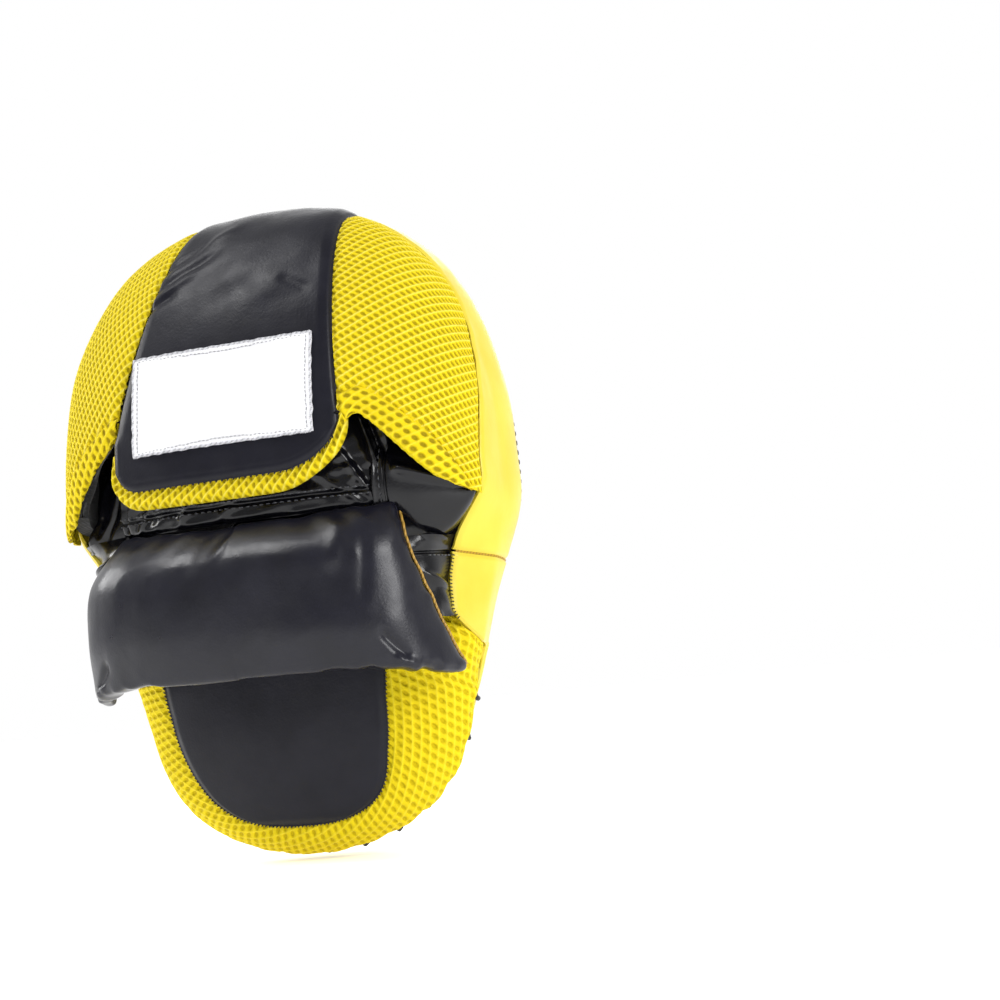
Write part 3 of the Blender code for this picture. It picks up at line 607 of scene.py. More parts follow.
def outward(along, y):
    """Unit normal of the side wall."""
    step = 5e-4
    up = side_point(along, y + step) - side_point(along, y - step)
    on = side_point(np.asarray(along) + step, y) - side_point(np.asarray(along) - step, y)
    normal = unit(np.cross(up, on))
    _, flat = edge_at(lean_at(y), along)
    turn = np.sign(normal[..., 0] * flat[..., 0] + normal[..., 2] * flat[..., 1])
    return normal * turn[..., None]


def off_wall(along, y, out):
    """A point this far outside the side wall, or inside it where out is negative."""
    return side_point(along, y) + outward(along, y) * np.asarray(out)[..., None]


def edge_distance(x, z):
    """How far inside the back outline a point lies."""
    _, normals, reach = BACK_HALF
    normals, reach = normals[::8], reach[::8]
    flat = np.stack([np.abs(x).ravel(), z.ravel()])
    inside = reach[:, None] - normals @ flat
    return inside.min(axis=0).reshape(x.shape)


def cushion_y(x, z):
    """Outer surface of the padded lower back."""
    near = np.clip(edge_distance(x, z) / CUSHION_ROUND, 0.0, 1.0)
    swell = (1 - (1 - near) ** CUSHION_POWER) ** (1 / CUSHION_POWER)
    rise = smooth((CUSHION_TOP_Z - z) / (CUSHION_TOP_Z - CUSHION_RISE_Z))
    return BACK_Y + CUSHION_EDGE_RISE * smooth(near * 8) + CUSHION_HEIGHT * swell * rise


def hood_y(x, z):
    """Outer surface of the hood, a dome with steep sides that opens downwards."""
    half_x, above, below, centre, power = BACK_HEAD
    share = np.clip(np.abs(z - centre) / np.where(z > centre, above, below), 0.0, 1.0)
    width = half_x * np.clip(1 - share**power, 1e-9, 1.0) ** (1 / power)
    height = np.clip(1 - share**HOOD_LONG_POWER, 0.0, 1.0) ** (1 / HOOD_LONG_POWER)
    across = np.clip(1 - (np.abs(x) / width) ** HOOD_CROSS_POWER, 0.0, 1.0) ** (1 / HOOD_CROSS_POWER)
    return HOOD_RIM_Y + HOOD_HEIGHT * height * across


def head_rim(angle):
    """The back outline's head at an angle from the top."""
    half_x, above, below, centre, power = BACK_HEAD
    x = np.sin(angle)
    z = np.cos(angle)
    half_z = np.where(z > 0, above, below)
    size = ((np.abs(x) / half_x) ** power + (np.abs(z) / half_z) ** power) ** (-1 / power)
    return np.stack([x * size, z * size + centre], axis=-1)


def hood_plan(angles, lip, rows, start_y=None):
    """Plan (x, z) of a piece of the hood, from the rim, or from the depths start_y, to the lip."""
    rim = head_rim(angles)
    fine = np.linspace(0, 1, 400) ** 2
    start = np.zeros(len(angles))
    if start_y is not None:
        for k, (edge, end) in enumerate(zip(rim, lip)):
            plan = edge[None, :] * (1 - fine[:, None]) + end[None, :] * fine[:, None]
            start[k] = np.interp(start_y[k], hood_y(plan[:, 0], plan[:, 1]), fine)
    steps = start[:, None] + (1 - start[:, None]) * np.linspace(0, 1, rows)[None, :] ** HOOD_SPACING
    return rim[:, None, :] * (1 - steps[..., None]) + lip[:, None, :] * steps[..., None]


def on_hood(plan):
    """Plan points raised onto the hood."""
    return np.stack([plan[..., 0], hood_y(plan[..., 0], plan[..., 1]), plan[..., 1]], axis=-1)


def surface_normals(surface, x, z):
    """Unit outward normals of a surface that gives the depth y at (x, z)."""
    step = 4e-4
    slope_x = (surface(x + step, z) - surface(x - step, z)) / (2 * step)
    slope_z = (surface(x, z + step) - surface(x, z - step)) / (2 * step)
    return unit(np.stack([-slope_x, np.ones_like(slope_x), -slope_z], axis=-1))


def lip_z(x):
    """Height of the mesh's lip, which runs up from the pad's edge to the strap."""
    share = (np.abs(x) - STRAP_LIP_X) / (LIP_END_X - STRAP_LIP_X)
    return LIP_HIGH_Z + (LIP_LOW_Z - LIP_HIGH_Z) * np.clip(share, 0.0, 1.0) ** LIP_POWER


def centre_edge(share, margin):
    """Edge of the centre panel, a long tongue with a rounded end; share runs little side to thumb side."""
    straight = CUSHION_TOP_Z - CENTRE_ROUND_Z
    half_x = CENTRE_HALF_WIDTH + margin
    half_z = CENTRE_ROUND_Z - CENTRE_BOTTOM_Z + margin
    turn = np.linspace(0, math.pi, 721)
    x = half_x * np.sign(np.cos(turn)) * np.abs(np.cos(turn)) ** (2 / CENTRE_POWER)
    z = CENTRE_ROUND_Z - half_z * np.sin(turn) ** (2 / CENTRE_POWER)
    flare = half_x * (1 + CENTRE_TAPER)
    x = np.concatenate([[flare], x, [-flare]])
    z = np.concatenate([[CENTRE_ROUND_Z + straight], z, [CENTRE_ROUND_Z + straight]])
    edge = np.stack([x, z], axis=-1)
    length = run_length(edge)
    return at_lengths(edge, length, np.asarray(share) * length[-1])


def centre_warp(plan):
    """The centre panel's plan made uneven: flared on the little-finger side, narrower on the thumb side."""
    x, z = plan[..., 0], plan[..., 1]
    flared = 1 + CENTRE_LITTLE_FLARE * smooth((z - CENTRE_FLARE_Z) / CENTRE_FLARE_RUN)
    narrowed = 1 - CENTRE_THUMB_CUT * smooth((z - CENTRE_BOTTOM_Z) / CENTRE_CUT_RUN)
    return np.stack([x * np.where(x > 0, flared, narrowed), z], axis=-1)


def cuff_grid(across, down):
    """Outer surface of the cuff, an arch over the wrist that widens towards its lower edge."""
    share = np.linspace(0, 1, down)
    end = CUFF_END_TOP + (CUFF_END_BOTTOM - CUFF_END_TOP) * share**0.8
    half = CUFF_HALF_TOP + (CUFF_HALF_BOTTOM - CUFF_HALF_TOP) * share
    little = half - CUFF_LITTLE_START + CUFF_LITTLE_OUT * smooth(share / CUFF_WIDEST)
    little = little - CUFF_LITTLE_BACK * smooth((share - CUFF_WIDEST) / (1 - CUFF_WIDEST))
    puff = CUFF_HEIGHT - CUFF_SEAM_HEIGHT
    height = CUFF_SEAM_HEIGHT + puff * np.sin(math.pi / 2 * np.clip(share / CUFF_RISE_SHARE, 0, 1))
    fall = smooth((share - (1 - CUFF_FALL_SHARE)) / CUFF_FALL_SHARE)
    height = height - (CUFF_HEIGHT - CUFF_LIP_HEIGHT) * fall
    turn = np.linspace(0, 1, across)[:, None] * (math.pi - 2 * end)[None, :] + end[None, :]
    half = np.where(np.cos(turn) > 0, little[None, :], half[None, :])
    x = half * np.sign(np.cos(turn)) * np.abs(np.cos(turn)) ** (2 / CUFF_POWER)
    y = height[None, :] * np.sin(turn) ** (2 / CUFF_POWER)
    middle = smooth((1 - np.abs(np.linspace(-1, 1, across))) / CUFF_LIFT_SHARE)[:, None]
    z = CUFF_TOP_Z + (CUFF_BOTTOM_Z + CUFF_EDGE_LIFT * middle - CUFF_TOP_Z) * share[None, :]
    return np.stack([x, y, z], axis=-1)


# ---------------------------------------------------------------- materials


class Look:
    """A node material, built one node at a time from its shader back."""

    def __init__(self, name, colour, roughness):
        self.material = bpy.data.materials.new(name)
        self.material.use_nodes = True
        self.nodes = self.material.node_tree.nodes
        self.links = self.material.node_tree.links
        self.shader = self.nodes["Principled BSDF"]
        self.wire(self.shader, {"Base Color": (*colour, 1.0), "Roughness": roughness})
        self.place = self.add("TexCoord").outputs["Object"]

    def wire(self, node, inputs):
        """Sets a node's inputs, each to a value or to another node's output."""
        for key, value in inputs.items():
            if isinstance(value, bpy.types.NodeSocket):
                self.links.new(value, node.inputs[key])
            else:
                node.inputs[key].default_value = value

    def add(self, kind, inputs=None, **settings):
        """A new node with these settings and inputs."""
        node = self.nodes.new("ShaderNode" + kind)
        for key, value in settings.items():
            setattr(node, key, value)
        self.wire(node, inputs or {})
        return node

    def math(self, operation, *values):
        """The result of a sum on values or sockets."""
        return self.add("Math", dict(enumerate(values)), operation=operation).outputs[0]

    def noise(self, size, detail=2.0, stretch=None):
        """Cloudy variation with features of about this size."""
        place = self.place
        if stretch:
            place = self.add("Mapping", {"Vector": place, "Scale": stretch}).outputs["Vector"]
        made = self.add("TexNoise", {"Vector": place, "Scale": 1 / size, "Detail": detail})
        return made.outputs["Fac"]

    def ramp(self, factor, *stops):
        """Colours or greys at places along a factor."""
        made = self.add("ValToRGB", {"Fac": factor})
        elements = made.color_ramp.elements
        while len(elements) < len(stops):
            elements.new(0.5)
        for element, (position, colour) in zip(elements, stops):
            element.position = position
            element.color = (*colour, 1.0) if len(colour) == 3 else colour
        return made.outputs["Color"]

    def spread(self, factor, low, high, start=0.0, end=1.0):
        """The factor between start and end, rescaled to low and high."""
        inputs = {"Value": factor, "From Min": start, "From Max": end, "To Min": low, "To Max": high}
        return self.add("MapRange", inputs).outputs["Result"]

    def relief(self, height, depth, below=None):
        """A bump of this depth, on top of another."""
        inputs = {"Height": height, "Distance": depth, "Strength": 1.0}
        if below is not None:
            inputs["Normal"] = below
        return self.add("Bump", inputs).outputs["Normal"]


def leather(name, dark, light, roughness, grain, depth, level=0.3, coat=0.0):
    """Coated leather cloth: pebbled grain, faint clouding and uneven shine."""
    look = Look(name, light, roughness)
    cloud = look.noise(0.022, 3.0)
    look.wire(look.shader, {"Base Color": look.ramp(cloud, (0.3, dark), (0.75, light))})
    smudge = look.noise(0.009, 4.0)
    shine = look.spread(smudge, roughness - 0.05, roughness + 0.07, 0.3, 0.7)
    look.wire(look.shader, {"Roughness": shine, "Specular IOR Level": level})
    cells = look.add("TexVoronoi", {"Vector": look.place, "Scale": 1 / grain}, feature="SMOOTH_F1")
    pores = look.add("TexVoronoi", {"Vector": look.place, "Scale": 2.7 / grain})
    normal = look.relief(look.noise(0.006, 3.0), depth * 2.5)
    normal = look.relief(cells.outputs["Distance"], depth, normal)
    normal = look.relief(pores.outputs["Distance"], depth * 0.3, normal)
    look.wire(look.shader, {"Normal": normal, "Coat Weight": coat, "Coat Roughness": 0.12})
    return look.material


def air_mesh(name, ridge, thread, pit_shade):
    """Knitted spacer mesh: staggered rows of slots between ridges, with a fine knit over all; the slots are
    painted darker as shade in the holes and the ridges painted paler as a highlight.
    """
    look = Look(name, thread, 0.7)
    stored = look.add("Attribute", attribute_name="weave").outputs["Vector"]
    across, along, rounded = look.add("SeparateXYZ", {"Vector": stored}).outputs
    row = look.math("FLOOR", along)
    rise = look.math("SUBTRACT", look.math("SUBTRACT", along, row), 0.5)
    lean = look.math("MULTIPLY", rise, SLOT_SLANT)
    turn = look.math("ADD", look.math("MULTIPLY_ADD", row, 0.5, across), lean)
    side = look.math("SUBTRACT", look.math("FRACT", turn), 0.5)
    squares = [
        look.math("POWER", look.math("DIVIDE", look.math("ABSOLUTE", off), half), 2.0)
        for off, half in ((side, SLOT_HALF_WIDTH), (rise, SLOT_HALF_LENGTH))
    ]
    hole = look.spread(look.math("SQRT", look.math("ADD", *squares)), 1.0, 0.0, *SLOT_SOFT)
    line = look.spread(look.math("ABSOLUTE", rise), 0.0, 1.0, *RIDGE_SOFT)
    line = look.math("MULTIPLY", line, look.spread(rounded, 1.0, 0.25))
    cloud = look.noise(0.025, 2.0)
    # Painted shade: the slots are coloured towards the dark pit colour, fully in the hem.
    depth = look.math("MULTIPLY", hole, look.spread(rounded, 0.78, 1.0))
    shade = look.math("ADD", depth, look.spread(cloud, -0.08, 0.08))
    middle = tuple((a + b) / 2 for a, b in zip(thread, pit_shade))
    colour = look.ramp(shade, (0.10, thread), (0.55, middle), (1.0, pit_shade))
    # Painted highlight: the ridge lines are coloured paler than the thread.
    colour = look.add("MixRGB", {"Fac": line, "Color1": colour, "Color2": (*ridge, 1.0)}).outputs["Color"]
    knit = look.noise(0.0006, 2.0)
    normal = look.relief(look.math("SUBTRACT", line, look.math("MULTIPLY", hole, 1.6)), 0.00022)
    normal = look.relief(knit, 0.00022, normal)
    look.wire(look.shader, {"Base Color": colour, "Normal": normal, "Specular IOR Level": 0.16})
    look.wire(look.shader, {"Sheen Weight": 0.07, "Sheen Roughness": 0.5, "Sheen Tint": (*ridge, 1.0)})
    return look.material


def woven(name, dark, light, size, depth, roughness=0.8, sheen=0.2):
    """Plain woven cloth: two crossed sets of threads."""
    look = Look(name, light, roughness)
    inputs = {"Vector": look.place, "Scale": 1 / (size * WAVE_TURN)}
    sets = [look.add("TexWave", inputs, bands_direction=direction) for direction in ("X", "Z")]
    crossed = look.math("MULTIPLY", *(waves.outputs["Fac"] for waves in sets))
    cloud = look.noise(0.004, 3.0)
    shade = look.math("ADD", crossed, look.spread(cloud, -0.15, 0.15))
    look.wire(look.shader, {"Base Color": look.ramp(shade, (0.0, dark), (0.7, light))})
    normal = look.relief(crossed, depth, look.relief(cloud, depth * 2))
    look.wire(look.shader, {"Normal": normal, "Sheen Weight": sheen})
    return look.material


def thread(name, colour, roughness=0.6, size=0.0006):
    """Twisted thread or cord."""
    look = Look(name, colour, roughness)
    inputs = {"Vector": look.place, "Scale": 1 / (size * WAVE_TURN), "Distortion": 1.5}
    twist = look.add("TexWave", inputs, bands_direction="DIAGONAL")
    dim = tuple(c * 0.6 for c in colour)
    look.wire(look.shader, {"Base Color": look.ramp(twist.outputs["Fac"], (0.1, dim), (0.7, colour))})
    look.wire(look.shader, {"Normal": look.relief(twist.outputs["Fac"], size * 0.25)})
    return look.material


CHARCOAL = ((0.004, 0.004, 0.008), (0.008, 0.008, 0.014))
BLACK = ((0.002, 0.002, 0.003), (0.004, 0.004, 0.006))
CUFF_BLACK = ((0.004, 0.004, 0.008), (0.008, 0.008, 0.015))
YELLOW = ((0.63, 0.49, 0.030), (0.70, 0.565, 0.055))
# Ridge, thread and pit colours of the air meshes: the pale ridge colour is a painted highlight and the dark
# pit colour is painted shade in the holes.
MESH_YELLOWS = ((0.82, 0.69, 0.09), (0.70, 0.54, 0.004), (0.28, 0.20, 0.0))
BACK_YELLOWS = ((0.80, 0.66, 0.04), (0.72, 0.56, 0.005), (0.50, 0.37, 0.0))
LINING_BLACK = ((0.003, 0.003, 0.004), (0.010, 0.010, 0.012))
PATCH_WHITE = ((0.74, 0.74, 0.76), (0.84, 0.84, 0.85))

LOOKS = {
    "charcoal": leather("charcoal_pu", *CHARCOAL, 0.38, 0.0009, 0.00004, 0.22),
    "gloss": leather("gloss_black_pu", *BLACK, 0.18, 0.0011, 0.00003, 0.28, 0.14),
    "cuff": leather("cuff_black_pu", *CUFF_BLACK, 0.32, 0.0010, 0.00003, 0.34, 0.03),
    "yellow": leather("yellow_pu", *YELLOW, 0.34, 0.0010, 0.00003, 0.35),
    "mesh": air_mesh("yellow_air_mesh", *MESH_YELLOWS),
    "back_mesh": air_mesh("yellow_air_mesh_back", *BACK_YELLOWS),
    "lining": woven("black_lining", *LINING_BLACK, 0.0008, 0.0001),
    "label": woven("white_patch", *PATCH_WHITE, 0.0004, 0.00005, 0.6),
    "silver": thread("silver_thread", (0.66, 0.66, 0.70), 0.45),
    "grey": thread("grey_thread", (0.34, 0.34, 0.37), 0.5),
    # Dark grey in place of black: a painted highlight for the glints on black thread, besides real shine from
    # its low roughness.
    "painted_glint_thread": thread("black_thread_painted_glint", (0.060, 0.062, 0.070), 0.3),
    "black_thread": thread("black_thread", (0.010, 0.010, 0.012)),
    "lace": thread("black_lace", (0.010, 0.010, 0.012), 0.55, 0.0009),
    # The seam cords' amber brown is painted shade.
    "seam": thread("seam_shadow", (0.46, 0.27, 0.01), 0.7),
    "amber": thread("amber_piping", (0.42, 0.24, 0.03), 0.45, 0.0008),
}


# ---------------------------------------------------------------- mesh building


def put_in_scene(name, data):
    """A new object of the scene that shows the data."""
    made = bpy.data.objects.new(name, data)
    bpy.context.scene.collection.objects.link(made)
    return made


def face_out(data):
    """Turns a closed mesh's faces outwards."""
    mesh = bmesh.new()
    mesh.from_mesh(data)
    bmesh.ops.recalc_face_normals(mesh, faces=mesh.faces)
    mesh.to_mesh(data)
    mesh.free()


def make_piece(name, points, faces, look, weave=None):
    """A named, closed, smooth-shaded mesh object with its finish."""
    data = bpy.data.meshes.new(name)
    data.from_pydata(points.tolist(), [], faces)
    data.validate()
    if weave is not None:
        stored = data.attributes.new("weave", "FLOAT_VECTOR", "POINT")
        stored.data.foreach_set("vector", weave.astype(np.float32).ravel())
    data.materials.append(LOOKS[look])
    data.shade_smooth()
    data.set_sharp_from_angle(angle=SHARP_ANGLE)
    face_out(data)
    made = put_in_scene(name, data)
    return made


def grid_faces(rows, columns, first=0):
    """Quads of a grid of points, row after row."""
    index = first + np.arange(rows * columns).reshape(rows, columns)
    corners = (index[:-1, :-1], index[1:, :-1], index[1:, 1:], index[:-1, 1:])
    return np.stack(corners, axis=-1).reshape(-1, 4)


def ring_faces(rings, sides, first=0):
    """Quads between closed rings of points, one ring after another."""
    corner = np.arange(sides)
    start = first + np.arange(rings - 1)[:, None] * sides
    a, b = start + corner, start + (corner + 1) % sides
    return np.stack([a, b, b + sides, a + sides], axis=-1).reshape(-1, 4).tolist()


def rod_faces(rings, sides, first=0):
    """Faces of a rod: the quads between its rings and a cap on each end."""
    last = first + (rings - 1) * sides
    caps = [list(range(first, first + sides))[::-1], list(range(last, last + sides))]
    return ring_faces(rings, sides, first) + caps


def fan_faces(first, sides, tip):
    """Triangles from a closed ring of points to a tip."""
    return [[first + k, first + (k + 1) % sides, tip] for k in range(sides)]


def grid_border(rows, columns):
    """Indices round the edge of a grid, in order."""
    index = np.arange(rows * columns).reshape(rows, columns)
    return np.concatenate([index[0, :], index[1:, -1], index[-1, -2::-1], index[-2:0:-1, 0]])


def closed_sheet(name, outer, inner, look, weave=None):
    """A thick sheet between two grids, closed round its edges."""
    rows, columns = outer.shape[:2]
    count = rows * columns
    points = np.concatenate([outer.reshape(-1, 3), inner.reshape(-1, 3)])
    rim = grid_border(rows, columns)
    following = np.roll(rim, -1)
    sides = np.stack([rim, following, following + count, rim + count], axis=1)
    top = grid_faces(rows, columns)
    under = grid_faces(rows, columns, count)[:, ::-1]
    faces = np.concatenate([top, under, sides[:, ::-1]]).tolist()
    if weave is not None:
        weave = np.concatenate([weave.reshape(-1, 3)] * 2)
    return make_piece(name, points, faces, look, weave)


def grid_normals(grid, inside):
    """Unit normals of a grid, turned away from a point inside."""
    normal = unit(np.cross(np.gradient(grid, axis=0), np.gradient(grid, axis=1)))
    middle = (grid.shape[0] // 2, grid.shape[1] // 2)
    away = grid[middle] - np.asarray(inside)
    return normal * (1.0 if np.dot(normal[middle], away) > 0 else -1.0)


def raised(grid, height, inside):
    """The grid moved outwards by a height, which may vary over it."""
    height = np.broadcast_to(height, grid.shape[:2])
    return grid + grid_normals(grid, inside) * height[:, :, None]


def skin_sheet(name, grid, thick, inside, look, weave=None):
    """A closed sheet of this thickness whose outer surface is the grid."""
    normal = grid_normals(grid, inside)
    thick = np.broadcast_to(thick, grid.shape[:2])
    return closed_sheet(name, grid, grid - normal * thick[:, :, None], look, weave)


def stitch_row(name, line, normals, kind):
    """A row of short stitches, each a small arched bead sunk into the surface at its ends."""
    look, pitch, length, radius, across, lift = STITCHES[kind]
    lengths = run_length(line)
    count = max(1, int(lengths[-1] / pitch))
    at = (np.arange(count) + 0.5) * lengths[-1] / count
    centre = at_lengths(line, lengths, at)
    ahead = unit(at_lengths(line, lengths, at + 2e-4) - at_lengths(line, lengths, at - 2e-4))
    up = unit(at_lengths(normals, lengths, at))
    side = unit(np.cross(up, ahead))
    ahead = unit(ahead * (1 - across) + side * across)
    side = np.cross(up, ahead)
    share = np.linspace(-1, 1, STITCH_STATIONS)[None, :, None]
    turns = 2 * math.pi * np.arange(STITCH_SIDES) / STITCH_SIDES
    middle = centre[:, None] + ahead[:, None] * share * length / 2
    middle = middle + up[:, None] * radius * (lift + 0.55 - 1.5 * share**4)
    size = (radius * (1 - 0.45 * share**4))[..., None]
    round_it = np.cos(turns)[:, None] * up[:, None, None] + np.sin(turns)[:, None] * side[:, None, None]
    points = (middle[:, :, None] + size * round_it).reshape(-1, 3)
    faces = []
    for first in range(0, len(points), STITCH_STATIONS * STITCH_SIDES):
        faces += rod_faces(STITCH_STATIONS, STITCH_SIDES, first)
    return make_piece(name, points, faces, look)


def tube(name, path, radius, sides, look):
    """A round cord along the path, its ends closed."""
    forward = unit(np.gradient(path, axis=0))
    across = np.cross(forward[0], (0.31, 0.52, 0.79))
    turns = 2 * math.pi * np.arange(sides)[:, None] / sides
    rings = []
    for point, ahead in zip(path, forward):
        across = across - ahead * np.dot(across, ahead)
        across /= np.linalg.norm(across)
        rings.append(point + radius * (np.cos(turns) * across + np.sin(turns) * np.cross(ahead, across)))
    return make_piece(name, np.concatenate(rings), rod_faces(len(path), sides), look)


def flatten(grid, size=26):
    """Near-true flat coordinates, in metres, of a curved grid: the cloth as it was cut."""
    rows = np.linspace(0, grid.shape[0] - 1, min(size, grid.shape[0])).round().astype(int)
    columns = np.linspace(0, grid.shape[1] - 1, min(size, grid.shape[1])).round().astype(int)
    coarse = grid[np.ix_(rows, columns)]
    data = bpy.data.meshes.new("flat_pattern")
    data.from_pydata(coarse.reshape(-1, 3).tolist(), [], grid_faces(*coarse.shape[:2]).tolist())
    data.uv_layers.new(name="UVMap")
    pattern = put_in_scene("flat_pattern", data)
    bpy.context.view_layer.objects.active = pattern
    for other in bpy.context.selected_objects:
        other.select_set(False)
    pattern.select_set(True)
    bpy.ops.object.mode_set(mode="EDIT")
    bpy.ops.mesh.select_all(action="SELECT")
    bpy.ops.uv.unwrap(method="MINIMUM_STRETCH", margin=0.0)
    bpy.ops.object.mode_set(mode="OBJECT")
    places = np.zeros(len(data.loops) * 2, np.float32)
    data.uv_layers[0].data.foreach_get("uv", places)
    corner = np.zeros(len(data.loops), np.int32)
    data.loops.foreach_get("vertex_index", corner)
    flat = np.zeros((len(data.vertices), 2))
    flat[corner] = places.reshape(-1, 2)
    flat = flat.reshape(*coarse.shape[:2], 2)
    bpy.data.objects.remove(pattern)
    bpy.data.meshes.remove(data)

    def total(points):
        """Length of all the grid's lines together."""
        return sum(np.linalg.norm(np.diff(points, axis=k), axis=2).sum() for k in (0, 1))

    flat = flat * total(coarse) / total(flat)
    across, down = np.arange(grid.shape[0]), np.arange(grid.shape[1])
    fine = np.stack([at_lengths(flat[:, j], rows, across) for j in range(len(columns))], axis=1)
    return np.stack([at_lengths(row, columns, down) for row in fine])


def turned(flat, first, second):
    """Flat coordinates turned so that the line from one grid place to another runs along v."""
    along = flat[second] - flat[first]
    along = along / np.linalg.norm(along)
    u = (flat - flat[first]) @ np.array([along[1], -along[0]])
    v = (flat - flat[first]) @ along
    return np.stack([u, v], axis=-1)


def weave_at(flat, pitch, row, turn=0.0, rounded=0.0):
    """Place in the air-mesh's pattern: holes across, rows along, and how far its ridges fade."""
    u = flat[..., 0] * math.cos(turn) + flat[..., 1] * math.sin(turn)
    v = flat[..., 1] * math.cos(turn) - flat[..., 0] * math.sin(turn)
    return np.stack([u / pitch, v / row, rounded + 0 * u], axis=-1)


def weave_height(weave):
    """The pattern's relief, from -1 in its holes to a little over 0 on its ridges."""
    row = np.floor(weave[..., 1])
    rise = weave[..., 1] - row - 0.5
    turn = weave[..., 0] + row * 0.5 + rise * SLOT_SLANT
    side = turn - np.floor(turn) - 0.5
    reach = np.hypot(side / SLOT_HALF_WIDTH, rise / SLOT_HALF_LENGTH)
    soft, hard = SLOT_SOFT
    faint, full = RIDGE_SOFT
    ridge = RIDGE_HEIGHT * smooth((np.abs(rise) - faint) / (full - faint))
    return ridge - smooth((hard + 0.1 - reach) / (hard + 0.1 - soft))


def ripples(u, v, size, seed, count=7):
    """Soft uneven waves between about -1 and 1, with features of a given size."""
    draw = np.random.default_rng(seed)
    total = 0.0
    for _ in range(count):
        angle, phase = draw.uniform(0, 2 * math.pi, 2)
        wave = 2 * math.pi / (size * draw.uniform(0.8, 2.0))
        total = total + np.sin(wave * (u * math.cos(angle) + v * math.sin(angle)) + phase)
    return total / count**0.5 / 1.4


def wrinkles(u, v, kind):
    """The ripples of this kind at their height."""
    height, size, seed = WRINKLES[kind]
    return height * ripples(u, v, size, seed)


def fold(u, v, start, end, width, height):
    """A rounded crease along a straight line from start to end, fading at its ends."""
    du, dv = end[0] - start[0], end[1] - start[1]
    length = math.hypot(du, dv)
    along = ((u - start[0]) * du + (v - start[1]) * dv) / length**2
    off = ((u - start[0]) * dv - (v - start[1]) * du) / length
    fade = smooth(along * 3 + 0.3) * smooth((1 - along) * 3 + 0.3)
    return height * bump(off, width) * fade


def folds(u, v, creases):
    """Several creases together."""
    return sum(fold(u, v, *crease) for crease in creases)


# ---------------------------------------------------------------- pad


def face_ring(inset, y, count):
    """A closed ring of the face's outline, drawn in by inset."""
    place, normal = edge_at(0.0, np.arange(count) / count)
    place = place - normal * inset
    return np.stack([place[:, 0], np.full(count, y), place[:, 1]], axis=1)


def build_strike_face():
    """The padded strike face: a flat smooth panel rolled over firm foam at its edge."""
    rings = []
    for turn in np.linspace(0, 1, FACE_ROLL_RINGS):
        inset = FACE_ROUND * (1 - math.cos(turn * math.pi / 2)) ** 1.15
        drop = (1 - (1 - inset / FACE_ROUND) ** FACE_POWER) ** (1 / FACE_POWER)
        rings.append(face_ring(inset, FACE_SEAM_Y + (FACE_Y - FACE_SEAM_Y) * drop, FACE_SIDES))
    middle = np.array([0.0, FACE_Y, FACE_HEAD[3]])
    last = rings[-1]
    rings += [middle + (last - middle) * share for share in np.linspace(1, 0, FACE_FLAT_RINGS)[1:-1]]
    grid = np.array(rings)
    u, v = grid[..., 0], grid[..., 2]
    rolled = np.arange(len(grid))[:, None] / FACE_ROLL_RINGS
    soft = wrinkles(u, v, "face") * smooth((rolled - 1.0) * 3)
    pucker = wrinkles(u, v, "face_rim") * bump(rolled - 0.25, 0.22)
    grid[..., 1] += soft
    grid = grid + unit(grid - np.array([0.0, -0.02, FACE_HEAD[3]])) * pucker[..., None]
    points = np.concatenate([grid.reshape(-1, 3), [middle], [middle + np.array([0, 0.008, 0])]])
    end, count = (len(grid) - 1) * FACE_SIDES, len(points)
    back = [[b, a, tip] for a, b, tip in fan_faces(0, FACE_SIDES, count - 1)]
    faces = ring_faces(len(grid), FACE_SIDES) + fan_faces(end, FACE_SIDES, count - 2) + back
    face = make_piece("strike_face", points, faces, "charcoal")
    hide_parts("strike_cover", "strike_foam", "core_foam", "rear_foam")
    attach(face, "pad")
    line = face_ring(FACE_STITCH_INSET, FACE_SEAM_Y - FACE_STITCH_RISE, ROW_POINTS)
    _, flat = edge_at(0.0, np.arange(ROW_POINTS) / ROW_POINTS)
    normals = np.stack([flat[:, 0], np.full(ROW_POINTS, FACE_STITCH_LEAN), flat[:, 1]], axis=1)
    stitches = stitch_row("strike_face_stitches", line, normals, "face")
    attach(stitches, "pad")


def lace_knots():
    """Where along the outline each turn of the lace crosses the outside of the gap."""
    start = along_at_height(LACE_TOP_Z)
    step = (1 - 2 * start - 2 * LACE_MARGIN) / LACE_STITCHES
    return start + LACE_MARGIN + step * (np.arange(LACE_STITCHES) + 0.5)


def lace_pull(along):
    """How strongly the lace draws the gap together, 1 at each crossing."""
    step = lace_knots()[1] - lace_knots()[0]
    distance = np.abs(np.asarray(along)[..., None] - lace_knots()).min(axis=-1)
    return bump(distance / step, 0.26)


def level_shift(y):
    """How far along the seam between the two strips moves, at each depth, to keep its height."""
    depths = np.linspace(FACE_SEAM_Y, BACK_Y, 12)
    shift = [along_at_height(SHOULDER_Z, lean_at(depth)) for depth in depths]
    return np.interp(y, depths, shift) - along_at_height(SHOULDER_Z)


